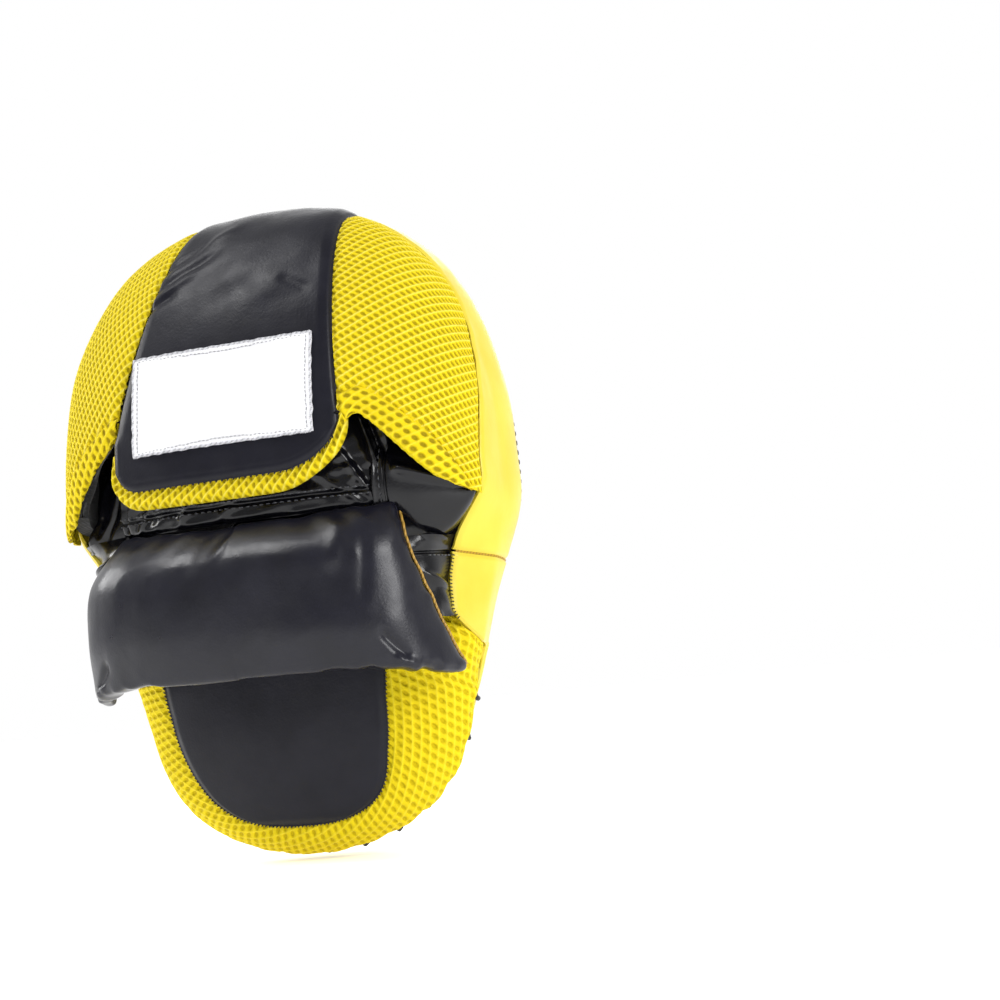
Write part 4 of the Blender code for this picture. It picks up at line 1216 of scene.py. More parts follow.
def build_gusset(name, node, along):
    """One strip of the smooth yellow side wall, drawn in at its seams and folded at its free edge."""
    low = FACE_SEAM_Y + 0.0002
    high = wall_edge_y(along, GUSSET_LACE_Y)
    laced = smooth((GUSSET_LACE_Y + GUSSET_LACED_RUN - high) / GUSSET_LACED_RUN)
    high = high + (LACE_PULL * lace_pull(along) - GUSSET_LACED_BACK) * laced
    steps = np.linspace(0, 1, GUSSET_ROWS)[None, :]
    steps = steps - 0.35 * np.sin(2 * math.pi * steps) / (2 * math.pi)
    y = low + (high[:, None] - low) * steps
    share = np.linspace(1, -1, len(along))[:, None]
    spread = along[:, None] + level_shift(y) * np.sign(share) * np.abs(share) ** 12
    grid = side_point(spread, y)
    normal = outward(spread, y)
    length = spread * OUTLINE_LENGTH
    to_face = y - low
    to_edge = high[:, None] - y
    to_end = np.minimum(np.abs(along - along[0]), np.abs(along - along[-1]))[:, None] * OUTLINE_LENGTH
    height = -soft_line(to_face, "wall_at_face") - soft_line(to_edge, "wall_at_edge")
    height = height - soft_line(to_end, "wall_at_end")
    height = height + wrinkles(length, y, "wall_at_face") * bump(to_face, 0.006)
    height = height + wrinkles(length, y, "wall_at_edge") * bump(to_edge, 0.006)
    height = height + wrinkles(length, y * 0.6, "wall")
    puckered = lace_pull(spread) * bump(to_edge - 0.004, 0.0045) * laced[:, None]
    height = height - 0.0009 * puckered + 0.0005 * laced[:, None] * bump(to_edge - 0.0022, 0.0012)
    grid = grid + normal * height[..., None]
    made = closed_sheet(name, grid, grid - normal * SKIN, "yellow")
    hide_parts(node)
    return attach(made, "pad")


def build_side_wall():
    """The two yellow strips, the dark cords of painted shade sunk in the seams between them and along the
    face, and the stitches of the wall's free edge.
    """
    seam = along_at_height(SHOULDER_Z)
    above, below = seam - GUSSET_GAP, seam + GUSSET_GAP
    upper, lower = GUSSET_COLUMNS
    build_gusset("gusset_upper", "upper_gusset", np.linspace(above, -above, upper))
    build_gusset("gusset_lower", "lower_gusset", np.linspace(below, 1 - seam - GUSSET_GAP, lower))
    for name, along, side in (("little", seam, 1), ("thumb", 1 - seam, -1)):
        y = np.linspace(FACE_SEAM_Y + 0.001, wall_edge_y(along, GUSSET_LACE_Y) - 0.001, 40)
        at = along + side * level_shift(y)
        # Painted shade: a dark cord sunk in each seam groove.
        path = off_wall(at, y, -SEAM_SHADE_CORD_SINK)
        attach(tube(f"shoulder_seam_shade_{name}", path, SEAM_SHADE_CORD_RADIUS, 8, "seam"), "pad")
    ring = np.linspace(0, 1, FACE_SEAM_SHADE_POINTS)
    path = side_point(ring, FACE_SEAM_Y + 0.0001) - outward(ring, FACE_SEAM_Y + 0.0006) * FACE_SEAM_SHADE_SINK
    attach(tube("face_seam_shade_cord", path[:-1], FACE_SEAM_SHADE_RADIUS, 8, "seam"), "pad")
    top = along_at_height(SHOULDER_Z - 0.001)
    foot = along_at_height(WALL_END_Z - 0.004)
    for name, ends in (("little", (top, foot)), ("thumb", (1 - foot, 1 - top))):
        along = np.linspace(*ends, 160)
        y = wall_edge_y(along, GUSSET_LACE_Y) - 0.0002
        line = off_wall(along, y, -WALL_STITCH_SINK)
        row = stitch_row(f"wall_stitches_{name}", line, outward(along, y), "wall")
        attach(row, "pad")


def build_lacing():
    """The lace, whipped round both edges of the gap, and the dark strip behind it."""
    start = along_at_height(LACE_TOP_Z)
    middle = (GUSSET_LACE_Y + PANEL_LACE_Y) / 2
    k = np.arange(LACE_STITCHES * LACE_STEPS + 1) / LACE_STEPS
    turn = 2 * math.pi * (k - 0.25)
    along = start + LACE_MARGIN + (1 - 2 * start - 2 * LACE_MARGIN) * k / LACE_STITCHES
    y = middle - LACE_REACH * np.cos(turn)
    path = off_wall(along, y, LACE_SWING * np.sin(turn) - LACE_SINK)
    lace = tube("lace_cord", path, LACE_RADIUS, 10, "lace")
    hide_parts("lace")
    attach(lace, "pad")
    start = along_at_height(LACE_TOP_Z + 0.002)
    along = np.linspace(start, 1 - start, BACKING_ROWS)[:, None] + np.zeros((1, BACKING_COLUMNS))
    ends = (GUSSET_LACE_Y - BACKING_PAST_WALL, PANEL_LACE_Y + BACKING_PAST_PANEL)
    y = np.linspace(*ends, BACKING_COLUMNS)[None, :] + 0 * along
    normal = outward(along, y)
    depth = BACKING_DEPTH + BACKING_HOLLOW * np.sin(np.linspace(0, math.pi, BACKING_COLUMNS))[None, :]
    depth = depth + wrinkles(along * OUTLINE_LENGTH, y, "backing")
    grid = side_point(along, y) - normal * depth[..., None]
    strip = closed_sheet("lace_backing_strip", grid, grid - normal * BACKING_THICK, "lining")
    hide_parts("lace_backing")
    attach(strip, "pad")


def build_rear_mesh():
    """The air-mesh that covers the edge of the lower back, from the lacing up to the dark centre panel."""
    start = along_at_height(CUSHION_TOP_Z - 0.0005)
    along = np.linspace(start, 1 - start, REAR_MESH_COLUMNS)
    edge, normal = edge_at(1.0, along)
    z = edge[:, 1]
    tucked = smooth((z - TUCK_Z) / TUCK_RUN)
    behind = smooth((z - BEHIND_Z) / BEHIND_RUN)
    inset = BEHIND_INSET * smooth((z - BEHIND_INSET_Z) / BEHIND_INSET_RUN) * (1 - tucked)
    inset = TUCK_INSET * tucked + inset
    pull = LACE_PULL * lace_pull(along) * (1 - behind)
    laced_y = PANEL_LACE_Y - pull + 0.0004
    start_y = laced_y + (wall_edge_y(along, GUSSET_LACE_Y) - BEHIND_DROP - laced_y) * behind
    start_y = start_y + (BACK_Y + SKIN - start_y) * tucked
    flat = np.stack([normal[:, 0], 0 * inset, normal[:, 1]], axis=1) * inset[:, None]
    end_y = BACK_Y + SKIN + 2 * GAP
    steps = np.linspace(0, 0.85, REAR_MESH_EDGE_ROWS)
    rows = [side_point(along, start_y + (end_y - start_y) * step) - flat for step in steps]
    edge = edge - normal * inset[:, None]
    inner = centre_warp(centre_edge(np.linspace(0, 1, len(along)), -REAR_MESH_UNDER))
    for step in np.linspace(0, 1, REAR_MESH_ROWS) ** REAR_MESH_SPACING:
        plan = edge * (1 - step) + inner * step
        lift = cushion_y(plan[:, 0], plan[:, 1]) + 2 * GAP + SKIN * tucked
        rows.append(np.stack([plan[:, 0], lift, plan[:, 1]], axis=1))
    grid = np.stack(rows, axis=1)
    for _ in range(REAR_MESH_EASING):
        grid[:, 1:-1] = grid[:, 1:-1] * 0.5 + (grid[:, :-2] + grid[:, 2:]) * 0.25
    flat = flatten(grid)
    half = len(along) // 2
    flat = turned(flat, (half, 0), (half, grid.shape[1] - 1))
    weave = weave_at(flat, *BACK_WEAVE)
    u, v = flat[..., 0], flat[..., 1]
    from_lace = np.linspace(0, 1, grid.shape[1])[None, :] * 0.045
    to_centre = (1 - np.linspace(0, 1, grid.shape[1]))[None, :] * 0.03
    even = smooth((to_centre - REAR_MESH_EVEN) / REAR_MESH_EVEN)
    height = (WEAVE_DEPTH * weave_height(weave) + wrinkles(u, v, "rear_mesh")) * even
    height = height - soft_line(from_lace, "mesh_at_lace")
    height = height - 0.0010 * (lace_pull(along) * (1 - behind))[:, None] * bump(from_lace - 0.005, 0.004)
    height = height - soft_line(np.maximum(to_centre - REAR_MESH_UNDER, 0.0), "mesh_at_centre")
    inside = (0.0, -0.03, -0.06)
    grid = raised(grid, height, inside)
    made = skin_sheet("rear_mesh", grid, REAR_MESH_THICK, inside, "back_mesh", weave)
    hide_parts("rear_mesh_panel")
    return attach(made, "pad")


def build_rear_centre():
    """The smooth dark centre panel over the wrist cushion, overlocked to the mesh all round."""
    little = centre_edge(np.linspace(0, 0.4995, 150), 0.0)[:, None]
    across = np.sin(np.linspace(math.pi / 2, -math.pi / 2, 120))
    x = little[..., 0] * across[None, :]
    z = np.broadcast_to(little[..., 1], x.shape)
    plan = centre_warp(np.stack([x, z], axis=-1))
    grid = np.stack([plan[..., 0], cushion_y(plan[..., 0], z), z], axis=-1)
    inset = np.minimum((1 - np.abs(across))[None, :] * little[..., 0], np.maximum(z - CENTRE_BOTTOM_Z, 0))
    height = CENTRE_LIFT + CENTRE_PUFF * smooth(inset / 0.004) + wrinkles(x, z, "centre")
    normal = surface_normals(cushion_y, plan[..., 0], z)
    grid = grid + normal * height[..., None]
    made = closed_sheet("rear_centre", grid, grid - normal * CENTRE_THICK, "charcoal")
    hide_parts("rear_centre_panel", "wrist_cushion")
    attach(made, "pad")
    plan = centre_warp(centre_edge(np.linspace(0.05, 0.95, ROW_POINTS), 0.0003))
    lift = cushion_y(plan[:, 0], plan[:, 1]) + 0.0006
    line = np.stack([plan[:, 0], lift, plan[:, 1]], axis=1)
    ahead = np.gradient(line, axis=0)
    normals = unit(np.cross(ahead, np.cross((0.0, 1.0, 0.0), ahead)))
    normals = normals * np.sign(normals[:, 1])[:, None]
    stitches = stitch_row("rear_centre_stitches", line, normals, "centre")
    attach(stitches, "pad")


def build_palm():
    """The lining under the palm and fingers."""
    end = along_at_height(PALM_END_Z - 0.010)
    along = np.linspace(-end, end, 200)
    place, normal = edge_at(1.0, along)
    place = place - normal * (PALM_INSET - 0.002)
    steps = np.sin(np.linspace(0, math.pi / 2, 60))
    middle = np.array([0.0, 0.03])
    plan = place[:, None, :] * (1 - steps[None, :, None]) + middle * steps[None, :, None]
    x, z = plan[..., 0], plan[..., 1]
    y = 0.0003 + wrinkles(x, z, "palm") * smooth(steps * 6)[None, :]
    grid = np.stack([x, y, z], axis=-1)
    lower = np.stack([x, np.full(x.shape, BACK_Y + 0.0001), z], axis=-1)
    made = closed_sheet("palm_cloth", grid, lower, "lining")
    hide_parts("palm_lining")
    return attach(made, "pad")


# ---------------------------------------------------------------- hood


def with_hem(grid):
    """The grid spaced anew along its columns, so that the hem starts at one row all along."""
    above = grid.shape[1] - HEM_ROWS
    columns = []
    for column in grid:
        length = run_length(column)
        start = length[-1] - min(HEM_WIDTH, length[-1] / 2)
        at = [np.linspace(0, start, above), np.linspace(start + HEM_STEP, length[-1], HEM_ROWS)]
        columns.append(at_lengths(column, length, np.concatenate(at)))
    return np.array(columns)


def build_hood_mesh(name, node, side, first_angle, lip_start):
    """One air-mesh panel of the hood, its free lip rolled under into a soft hem."""
    columns, rows = HOOD_MESH_GRID
    angles = np.linspace(first_angle, HOOD_END_ANGLE, columns) * side
    share = np.linspace(0, 1, columns)
    x = lip_start + (LIP_END_X - lip_start) * share
    dip = soft_line(share - 0.06, "thumb_lip") * (side < 0)
    lip = np.stack([x * side, lip_z(x) - dip + 0.0012 * np.sin(share * math.pi)], axis=-1)
    rim_z = head_rim(angles)[:, 1]
    climb = smooth((WALL_LOW_Z - rim_z) / (WALL_LOW_Z - WALL_HIGH_Z))
    start_y = HOOD_RIM_Y + GAP + WALL_RISE * climb
    grid = on_hood(hood_plan(angles, lip, rows, start_y))
    inside = (0.0, 0.0, BACK_HEAD[3])
    grid[..., 1] = np.maximum(grid[..., 1], HOOD_RIM_Y)
    grid = with_hem(grid)
    last, up = grid[:, -1], grid_normals(grid, inside)[:, -1]
    ahead = unit(last - grid[:, -6])
    up = unit(up - ahead * (up * ahead).sum(axis=1)[:, None])
    roll = (HEM_ROLL * (1 - 0.8 * smooth((share - 0.90) / 0.09)))[:, None]
    under = [last + roll * (math.sin(turn) * ahead - (1 - math.cos(turn)) * up)
             for turn in np.linspace(0, math.pi, 10)[1:]]
    under += [last - 2 * roll * up - step * ahead for step in np.linspace(0, HEM_TUCK, 8)[1:]]
    full = np.concatenate([grid, np.stack(under, axis=1)], axis=1)
    flat = turned(flatten(full), (0, rows - 1), (0, 0))
    lengths = np.array([run_length(column) for column in full])
    to_lip = lengths[:, rows - 1][:, None] - lengths
    in_hem = (np.arange(full.shape[1]) >= rows - HEM_ROWS)[None, :, None]
    weave = np.where(in_hem, weave_at(flat, *HEM_WEAVE, side * HOOD_WEAVE_TURN, 1.0),
                     weave_at(flat, *HOOD_WEAVE, side * HOOD_WEAVE_TURN))
    u, v = flat[..., 0], flat[..., 1]
    from_strap = np.linalg.norm(full - full[:1], axis=2)
    level = (1 - bump(to_lip - HEM_WIDTH, 0.0011)) * smooth((1 - share) / 0.035)[:, None]
    height = WEAVE_DEPTH * weave_height(weave) * level + 0.0007 * ripples(u, v, 0.045, 21 + int(side))
    height = height - soft_line(from_strap, "mesh_at_strap") - soft_line(lengths, "mesh_at_rim")
    height = height + 0.0009 * in_hem[..., 0] * smooth(to_lip / 0.004) * smooth((HEM_WIDTH - to_lip) / 0.002)
    height = height - soft_line(to_lip - HEM_WIDTH, "hem") + folds(u, v, HOOD_MESH_CREASES)
    full = raised(full, height, inside)
    made = skin_sheet(name, full, HOOD_MESH_THICK, inside, "mesh", weave)
    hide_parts(node)
    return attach(made, "pad")


def tongue_low(c):
    """Lower edge of the strap's free end across it, its corner larger on the thumb side."""
    half = np.where(c < 0, STRAP_LIP_THUMB_X, STRAP_LIP_X)
    corner, reach = (np.where(c < 0, *sizes) for sizes in zip(TONGUE_THUMB_CORNER, TONGUE_LITTLE_CORNER))
    into = np.clip((np.abs(c) * half - (half - corner)) / corner, 0.0, 1.0)
    return TONGUE_BOTTOM_Z + TONGUE_TRIM + reach * (1 - np.sqrt(np.clip(1 - into**2, 0.0, 1.0)))


def strap_plan(rows_up, rows_down):
    """Plan (x, z) of the whole strap, from the pad's rim over the hood to its free end."""
    c = np.sin(np.linspace(-math.pi / 2, math.pi / 2, STRAP_COLUMNS))
    angle = STRAP_THUMB_ANGLE + (STRAP_LITTLE_ANGLE - STRAP_THUMB_ANGLE) * (c + 1) / 2
    rim = head_rim(angle)
    half = np.where(c < 0, STRAP_LIP_THUMB_X, STRAP_LIP_X)
    lip = np.stack([c * half, np.full(len(c), STRAP_HOLD_Z)], axis=-1)
    steps = np.linspace(0, 1, rows_up)[None, :, None] ** HOOD_SPACING
    upper = rim[:, None, :] * (1 - steps) + lip[:, None, :] * steps
    steps = np.linspace(0, 1, rows_down)[1:][None, :]
    z = STRAP_HOLD_Z + (tongue_low(c)[:, None] - STRAP_HOLD_Z) * steps
    lower = np.stack([np.broadcast_to(lip[:, :1], z.shape), z], axis=-1)
    return c, np.concatenate([upper, lower], axis=1)


def build_strap():
    """The smooth strap over the hood, one piece with its free end."""
    rows_up, rows_down = STRAP_ROWS
    c, plan = strap_plan(rows_up, rows_down)
    grid = on_hood(plan)
    grid[..., 1] = np.maximum(grid[..., 1], HOOD_RIM_Y)
    inside = (0.0, 0.0, 0.05)
    x, z = plan[..., 0], plan[..., 1]
    half = np.abs(plan[0, :, 0] - plan[-1, :, 0])[None, :] / 2
    to_side = (1 - np.abs(c))[:, None] * half
    to_end = np.linalg.norm(grid - grid[:, -1:], axis=2) * (z < 0.05) + 0.05 * (z >= 0.05)
    to_rim = np.linalg.norm(grid - grid[:, :1], axis=2)
    free = smooth((STRAP_FREE_Z - z) / STRAP_FREE_RUN)
    edge = np.minimum(to_side, to_end)
    height = STRAP_PUFF * smooth(to_side / 0.006) - soft_line(to_side, "strap_side") * (1 - free)
    height = height + 0.0004 * free * bump(edge - 0.0028, 0.0016) - 0.0010 * free * bump(edge, 0.0007)
    height = height - soft_line(to_rim, "strap_at_rim")
    height = height + wrinkles(x, z, "strap") * smooth(to_side / 0.01)
    top = smooth((z - STRAP_TOP_Z) / STRAP_TOP_RUN)
    height = height + wrinkles(x * 0.7, z * 1.5, "strap_top") * top
    height = height + folds(x, z, STRAP_CREASES)
    grid = raised(grid, height, inside)
    thick = STRAP_THICK - soft_line(edge, "strap_edge")
    strap = skin_sheet("hood_strap_and_tongue", grid, thick, inside, "charcoal")
    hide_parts("hood_strap", "tongue")
    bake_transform(strap)
    border = np.concatenate([grid[1, rows_up - 6:], grid[2:-2, -1], grid[-2, rows_up - 6:][::-1]])
    build_tongue_rim(border)


def build_tongue_rim(border):
    """The yellow mesh that backs the strap's free end and stands out round its edge."""
    c = np.sin(np.linspace(-math.pi / 2, math.pi / 2, 260))
    half = np.where(c < 0, STRAP_LIP_THUMB_X, STRAP_LIP_X) + TONGUE_RIM_OUT
    drop = TONGUE_BOTTOM_Z + TONGUE_TRIM - TONGUE_MESH_BOTTOM_Z
    low = tongue_low(c) - drop + 0.0030 * smooth((-c - 0.35) / 0.5) + 0.0012 * np.abs(c) ** 3
    top = TONGUE_RIM_TOP_Z + 0.0090 * smooth(-c * 4 - 2.2)
    steps = np.sin(np.linspace(0, math.pi / 2, 56))[None, :]
    z = top[:, None] + (low - top)[:, None] * steps
    x = np.broadcast_to((c * half)[:, None], z.shape)
    base = on_hood(np.stack([x, z], axis=-1))
    inside = (0.0, 0.0, 0.03)
    normal = grid_normals(base, inside)
    edges = (base[:1], base[-1:], base[:, -1:])
    to_edge = np.min([np.linalg.norm(base - edge, axis=2) for edge in edges], axis=0)
    over = np.clip(1 - to_edge / TONGUE_RIM_OUT, 0.0, 1.0)
    drop = TONGUE_RIM_OUT * (1 - np.sqrt(np.clip(1 - over**2, 0, 1)))
    half = len(c) // 2
    weave = weave_at(turned(flatten(base), (half, 0), (half, base.shape[1] - 1)), *RIM_WEAVE)
    puff = soft_line(to_edge - 0.0030, "tongue_rim")
    knit = WEAVE_DEPTH * weave_height(weave) * (over < 0.9)
    above, below = TONGUE_RIM_DEPTHS
    outer = base + normal * (puff - above - drop + knit)[..., None]
    inner = base + normal * (drop - below)[..., None]
    rim = closed_sheet("tongue_rim", outer, inner, "mesh", weave)
    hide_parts("tongue_mesh_rim")
    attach(rim, "strap_tongue")
    normals = unit(np.stack([border[:, 0] * 0.6, np.full(len(border), 0.05), 0 * border[:, 0]], axis=1))
    line = border + normals * -0.0004 + np.array([0.0, -0.0008, 0.0])
    lift = line[:, 2] < 0.0340
    stitches = stitch_row("tongue_stitches", line[lift], normals[lift], "tongue")
    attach(stitches, "strap_tongue")


def build_hood_lining():
    """The padded lining that shows at the hood's mouth."""
    angles = np.linspace(-HOOD_END_ANGLE, HOOD_END_ANGLE, 120) * HOOD_LINING_SHARE
    x = np.linspace(-LIP_END_X, LIP_END_X, 120) * HOOD_LINING_SHARE
    z = lip_z(x) + HOOD_LINING_LIFT_Z
    z = z + (HOOD_LINING_BEHIND_STRAP_Z - z) * smooth((STRAP_LIP_X - 0.0005 - np.abs(x)) / 0.006)
    grid = on_hood(hood_plan(angles, np.stack([x, z], axis=-1), 60))
    normal = surface_normals(hood_y, grid[..., 0], grid[..., 2])
    to_lip = np.linalg.norm(grid - grid[:, -1:], axis=2)
    thick = HOOD_FOAM_THICK + SKIN
    over = np.clip(1 - to_lip / (thick / 2), 0.0, 1.0)
    close = thick / 2 * (1 - np.sqrt(np.clip(1 - over**2, 0, 1)))
    start = MESH_THICK + 0.0010
    wrinkle = wrinkles(grid[..., 0], grid[..., 2], "hood_lining")
    outer = grid - normal * (start + close)[..., None]
    inner = grid - normal * (start + thick - close + wrinkle)[..., None]
    outer[..., 1] = np.maximum(outer[..., 1], HOOD_RIM_Y)
    inner[..., 1] = np.maximum(inner[..., 1], HOOD_RIM_Y)
    made = closed_sheet("hood_lining_pad", outer, inner, "lining")
    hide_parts("hood_foam", "hood_lining")
    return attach(made, "pad")


def build_label():
    """The blank patch across the strap, whipped down with silver thread."""
    low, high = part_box("label_patch")
    low = low + Vector((LABEL_THUMB_TRIM, 0, 0))
    high = high - Vector((LABEL_LITTLE_TRIM, 0, LABEL_TOP_TRIM))
    x, z = np.meshgrid(np.linspace(low.x, high.x, 110), np.linspace(high.z, low.z, 70), indexing="ij")
    fray = wrinkles(z, z * 0, "label_sides")
    x = x + fray * bump(np.minimum(high.x - x, x - low.x), 0.001)
    z = z + wrinkles(x, x * 0, "label_ends") * bump(np.minimum(high.z - z, z - low.z), 0.001)
    grid = on_hood(np.stack([x, z], axis=-1))
    edge = np.min([high.x - x, x - low.x, high.z - z, z - low.z], axis=0)
    height = LABEL_LIFT + wrinkles(x, z, "label") - soft_line(edge - 0.0024, "label_stitches")
    inside = (0.0, 0.0, 0.05)
    grid = raised(grid, height, inside)
    label = skin_sheet("blank_label", grid, LABEL_THICK, inside, "label")
    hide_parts("label_patch")
    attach(label, "pad")
    border = grid_border(*grid.shape[:2])
    ring = np.append(border, border[0])
    line = grid.reshape(-1, 3)[ring]
    inwards = unit(grid.reshape(-1, 3).mean(axis=0) - line)
    line = line + inwards * 0.0004
    normals = grid_normals(grid, inside).reshape(-1, 3)[ring]
    stitches = stitch_row("label_border", line, normals, "label")
    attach(stitches, "pad")
    inner = line + inwards * 0.0022
    ticks = stitch_row("label_ticks", inner, normals, "ticks")
    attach(ticks, "pad")


# ---------------------------------------------------------------- inner glove and cuff


def build_hand_cover():
    """The glossy cover over the back of the hand, gathered into pleats where the cuff is sewn on."""
    turn = np.linspace(-1, 1, COVER_COLUMNS)
    z = np.linspace(COVER_TOP_Z, COVER_BOTTOM_Z, COVER_ROWS)
    x, z = np.meshgrid(COVER_EDGE_X * np.sin(turn * math.pi / 2), z, indexing="ij")
    arch = (1 - np.abs(x / COVER_HALF_WIDTH) ** COVER_POWER) ** (1 / COVER_POWER)
    grid = np.stack([x, COVER_HEIGHT * arch, z], axis=-1)
    u = turn[:, None] * COVER_HALF_LENGTH + 0 * z
    height = wrinkles(u, z * 0.5, "cover") + wrinkles(u, z, "cover_fine")
    height = height + folds(u, z, COVER_PLEATS)
    inside = (0.0, 0.0, 0.03)
    height = height - soft_line(z - 0.0118, "cover_stitches") - soft_line(z - COVER_BOTTOM_Z, "cover_edge")
    grid = raised(grid, height, inside)
    cover = skin_sheet("glossy_hand_cover", grid, SKIN, inside, "gloss")
    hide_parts("hand_cover")
    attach(cover, "pad")
    normal = grid_normals(grid, inside)
    for name, height_z in COVER_STITCHES.items():
        row = int(np.argmin(np.abs(z[0] - height_z)))
        line, up = grid[12:-12, row], normal[12:-12, row]
        stitches = stitch_row(f"hand_cover_stitches_{name}", line, up, "cover")
        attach(stitches, "pad")


def build_thumb_pouch():
    """The pointed pocket for the thumb, seamed along its length and creased at its root."""
    base, tip = np.asarray(POUCH_BASE), np.asarray(POUCH_TIP)
    rows, columns = POUCH_ROWS, POUCH_SIDES
    share = np.linspace(0, 0.995, rows)[:, None]
    turn = np.linspace(0, 2 * math.pi, columns, endpoint=False)[None, :]
    swell = (1 - share**2.1) ** 0.82
    half_z = np.where(np.cos(turn) < 0, POUCH_BELOW, POUCH_ABOVE)
    height = wrinkles(share * 0.04, np.sin(turn) * 0.02, "pouch")
    height = height - soft_line(share - 0.17, "pouch_seam") + soft_line(share - 0.21, "pouch_roll")
    height = height + soft_line(share - 0.045 - 0.02 * np.sin(2 * turn), "pouch_root")
    ridge = np.angle(np.exp(1j * (turn - POUCH_RIDGE_TURN)))
    height = height + soft_line(ridge, "pouch_ridge") * smooth((share - 0.15) * 4)
    height = height * smooth((1 - share) * 6)
    y = (POUCH_HALF_Y * swell + height) * np.sin(turn)
    z = (half_z * swell + height) * np.cos(turn)
    bow = np.sin(share * math.pi) * 0.002
    centre = base + (tip - base) * share[..., None]
    grid = centre + np.stack([0 * y, y + bow, z], axis=-1)
    points = np.concatenate([grid.reshape(-1, 3), [centre[0, 0]], [tip + np.array([-0.0004, 0, 0])]])
    last, count = (rows - 1) * columns, len(points)
    root = [[b, a, tip] for a, b, tip in fan_faces(0, columns, count - 2)]
    faces = ring_faces(rows, columns) + root + fan_faces(last, columns, count - 1)
    pouch = make_piece("thumb_pouch_cover", points, faces, "gloss")
    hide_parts("thumb_pouch")
    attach(pouch, "pad")
    seam = int(rows * 0.11)
    line = grid[seam, columns // 8: columns * 5 // 8]
    up = unit(line - centre[seam, 0])
    row = stitch_row("thumb_pouch_stitches", line, up, "pouch")
    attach(row, "pad")


def bulged_panel(foot, top, columns, bulge):
    """A panel from a foot line to a top line that bulges between them, and the place across it."""
    step = np.linspace(0, 1, columns)[None, :, None]
    grid = foot[:, None, :] * (1 - step) + top[:, None, :] * step
    grid = grid + bulge * np.sin(math.pi * step) * np.array(SIDE_BULGE_TO)
    return grid, np.linspace(0, SIDE_WIDTH, columns)[None, :] + 0 * grid[..., 0]


def build_side_panel(name, node, side, top_z):
    """A crumpled glossy panel between the yellow wall and the cuff's side."""
    along = np.linspace(along_at_height(top_z), along_at_height(SIDE_BOTTOM_Z), 110)
    foot = off_wall(along, wall_edge_y(along, GUSSET_LACE_Y) - SIDE_BELOW, -(SKIN + SIDE_UNDER))
    edge = cuff_grid(CUFF_ACROSS, CUFF_DOWN)[0 if side > 0 else -1]
    top_x, top_y = (np.interp(-foot[:, 2], -edge[:, 2], np.abs(edge[:, k])) for k in (0, 1))
    top = np.stack([top_x - SIDE_TOP_IN[0], top_y - SIDE_TOP_IN[1], foot[:, 2]], axis=1)
    grid, u = bulged_panel(foot, top, 80, 0.0030)
    v = grid[..., 2]
    height = wrinkles(u * 0.7, v, "side_panel") + folds(u, v, SIDE_PANEL_CREASES)
    height = height - soft_line(v - SIDE_SEAM_Z - 0.0012, "side_seam")
    grid[..., 0] *= side
    inside = (0.0, -0.02, -0.02)
    grid = raised(grid, height, inside)
    made = skin_sheet(name, grid, SKIN, inside, "gloss")
    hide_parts(node)
    row = int(np.argmin(np.abs(grid[:, 0, 2] - SIDE_SEAM_Z)))
    up = grid_normals(grid, inside)[row]
    stitches = stitch_row(f"{name}_stitches", grid[row, 4:-24], up[4:-24], "side")
    for piece in (made, stitches):
        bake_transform(piece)


def build_little_flap():
    """The glossy flap that closes the side of the hand's opening under the hood, beyond the little finger."""
    z = np.linspace(FLAP_TOP_Z, FLAP_BOTTOM_Z, 90)
    along = np.array([along_at_height(height) for height in z])
    foot_y = np.minimum(wall_edge_y(along, GUSSET_LACE_Y), FLAP_HIGHEST_FOOT_Y) - SIDE_BELOW
    inset = SKIN + SIDE_UNDER + FLAP_INSET * smooth((z - FLAP_INSET_Z) / FLAP_INSET_RUN)
    foot = off_wall(along, foot_y, -inset)
    foot[:, 2] = z
    top = np.stack([np.full(len(z), FLAP_HIGH[0]), np.full(len(z), FLAP_HIGH[1]), z], axis=1)
    grid, u = bulged_panel(foot, top, 60, 0.0025)
    v = grid[..., 2]
    height = wrinkles(u * 0.7, v, "flap") + folds(u, v, FLAP_CREASES)
    inside = (0.0, -0.02, 0.02)
    grid = raised(grid, height, inside)
    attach(skin_sheet("side_flap_little", grid, SKIN, inside, "gloss"), "pad")


def point_values(data, key):
    """A mesh's places (co) or normals (normal) as an array."""
    found = np.zeros(len(data.vertices) * 3, np.float32)
    data.vertices.foreach_get(key, found)
    return found.reshape(-1, 3).astype(float)


def move_points(data, places):
    """Puts a mesh's points at these places."""
    data.vertices.foreach_set("co", places.astype(np.float32).ravel())


def evaluated(piece):
    """A new mesh of the piece as its modifiers and simulation leave it."""
    return bpy.data.meshes.new_from_object(piece.evaluated_get(bpy.context.evaluated_depsgraph_get()))


def even_out(piece, rounds, merge_under=0.0):
    """Merges a piece's points that are closer than this, then eases them towards their neighbours."""
    mesh = bmesh.new()
    mesh.from_mesh(piece.data)
    if merge_under:
        bmesh.ops.remove_doubles(mesh, verts=mesh.verts, dist=merge_under)
    for _ in range(rounds):
        bmesh.ops.smooth_vert(
            mesh, verts=mesh.verts, factor=0.5, use_axis_x=True, use_axis_y=True, use_axis_z=True)
    mesh.to_mesh(piece.data)
    mesh.free()


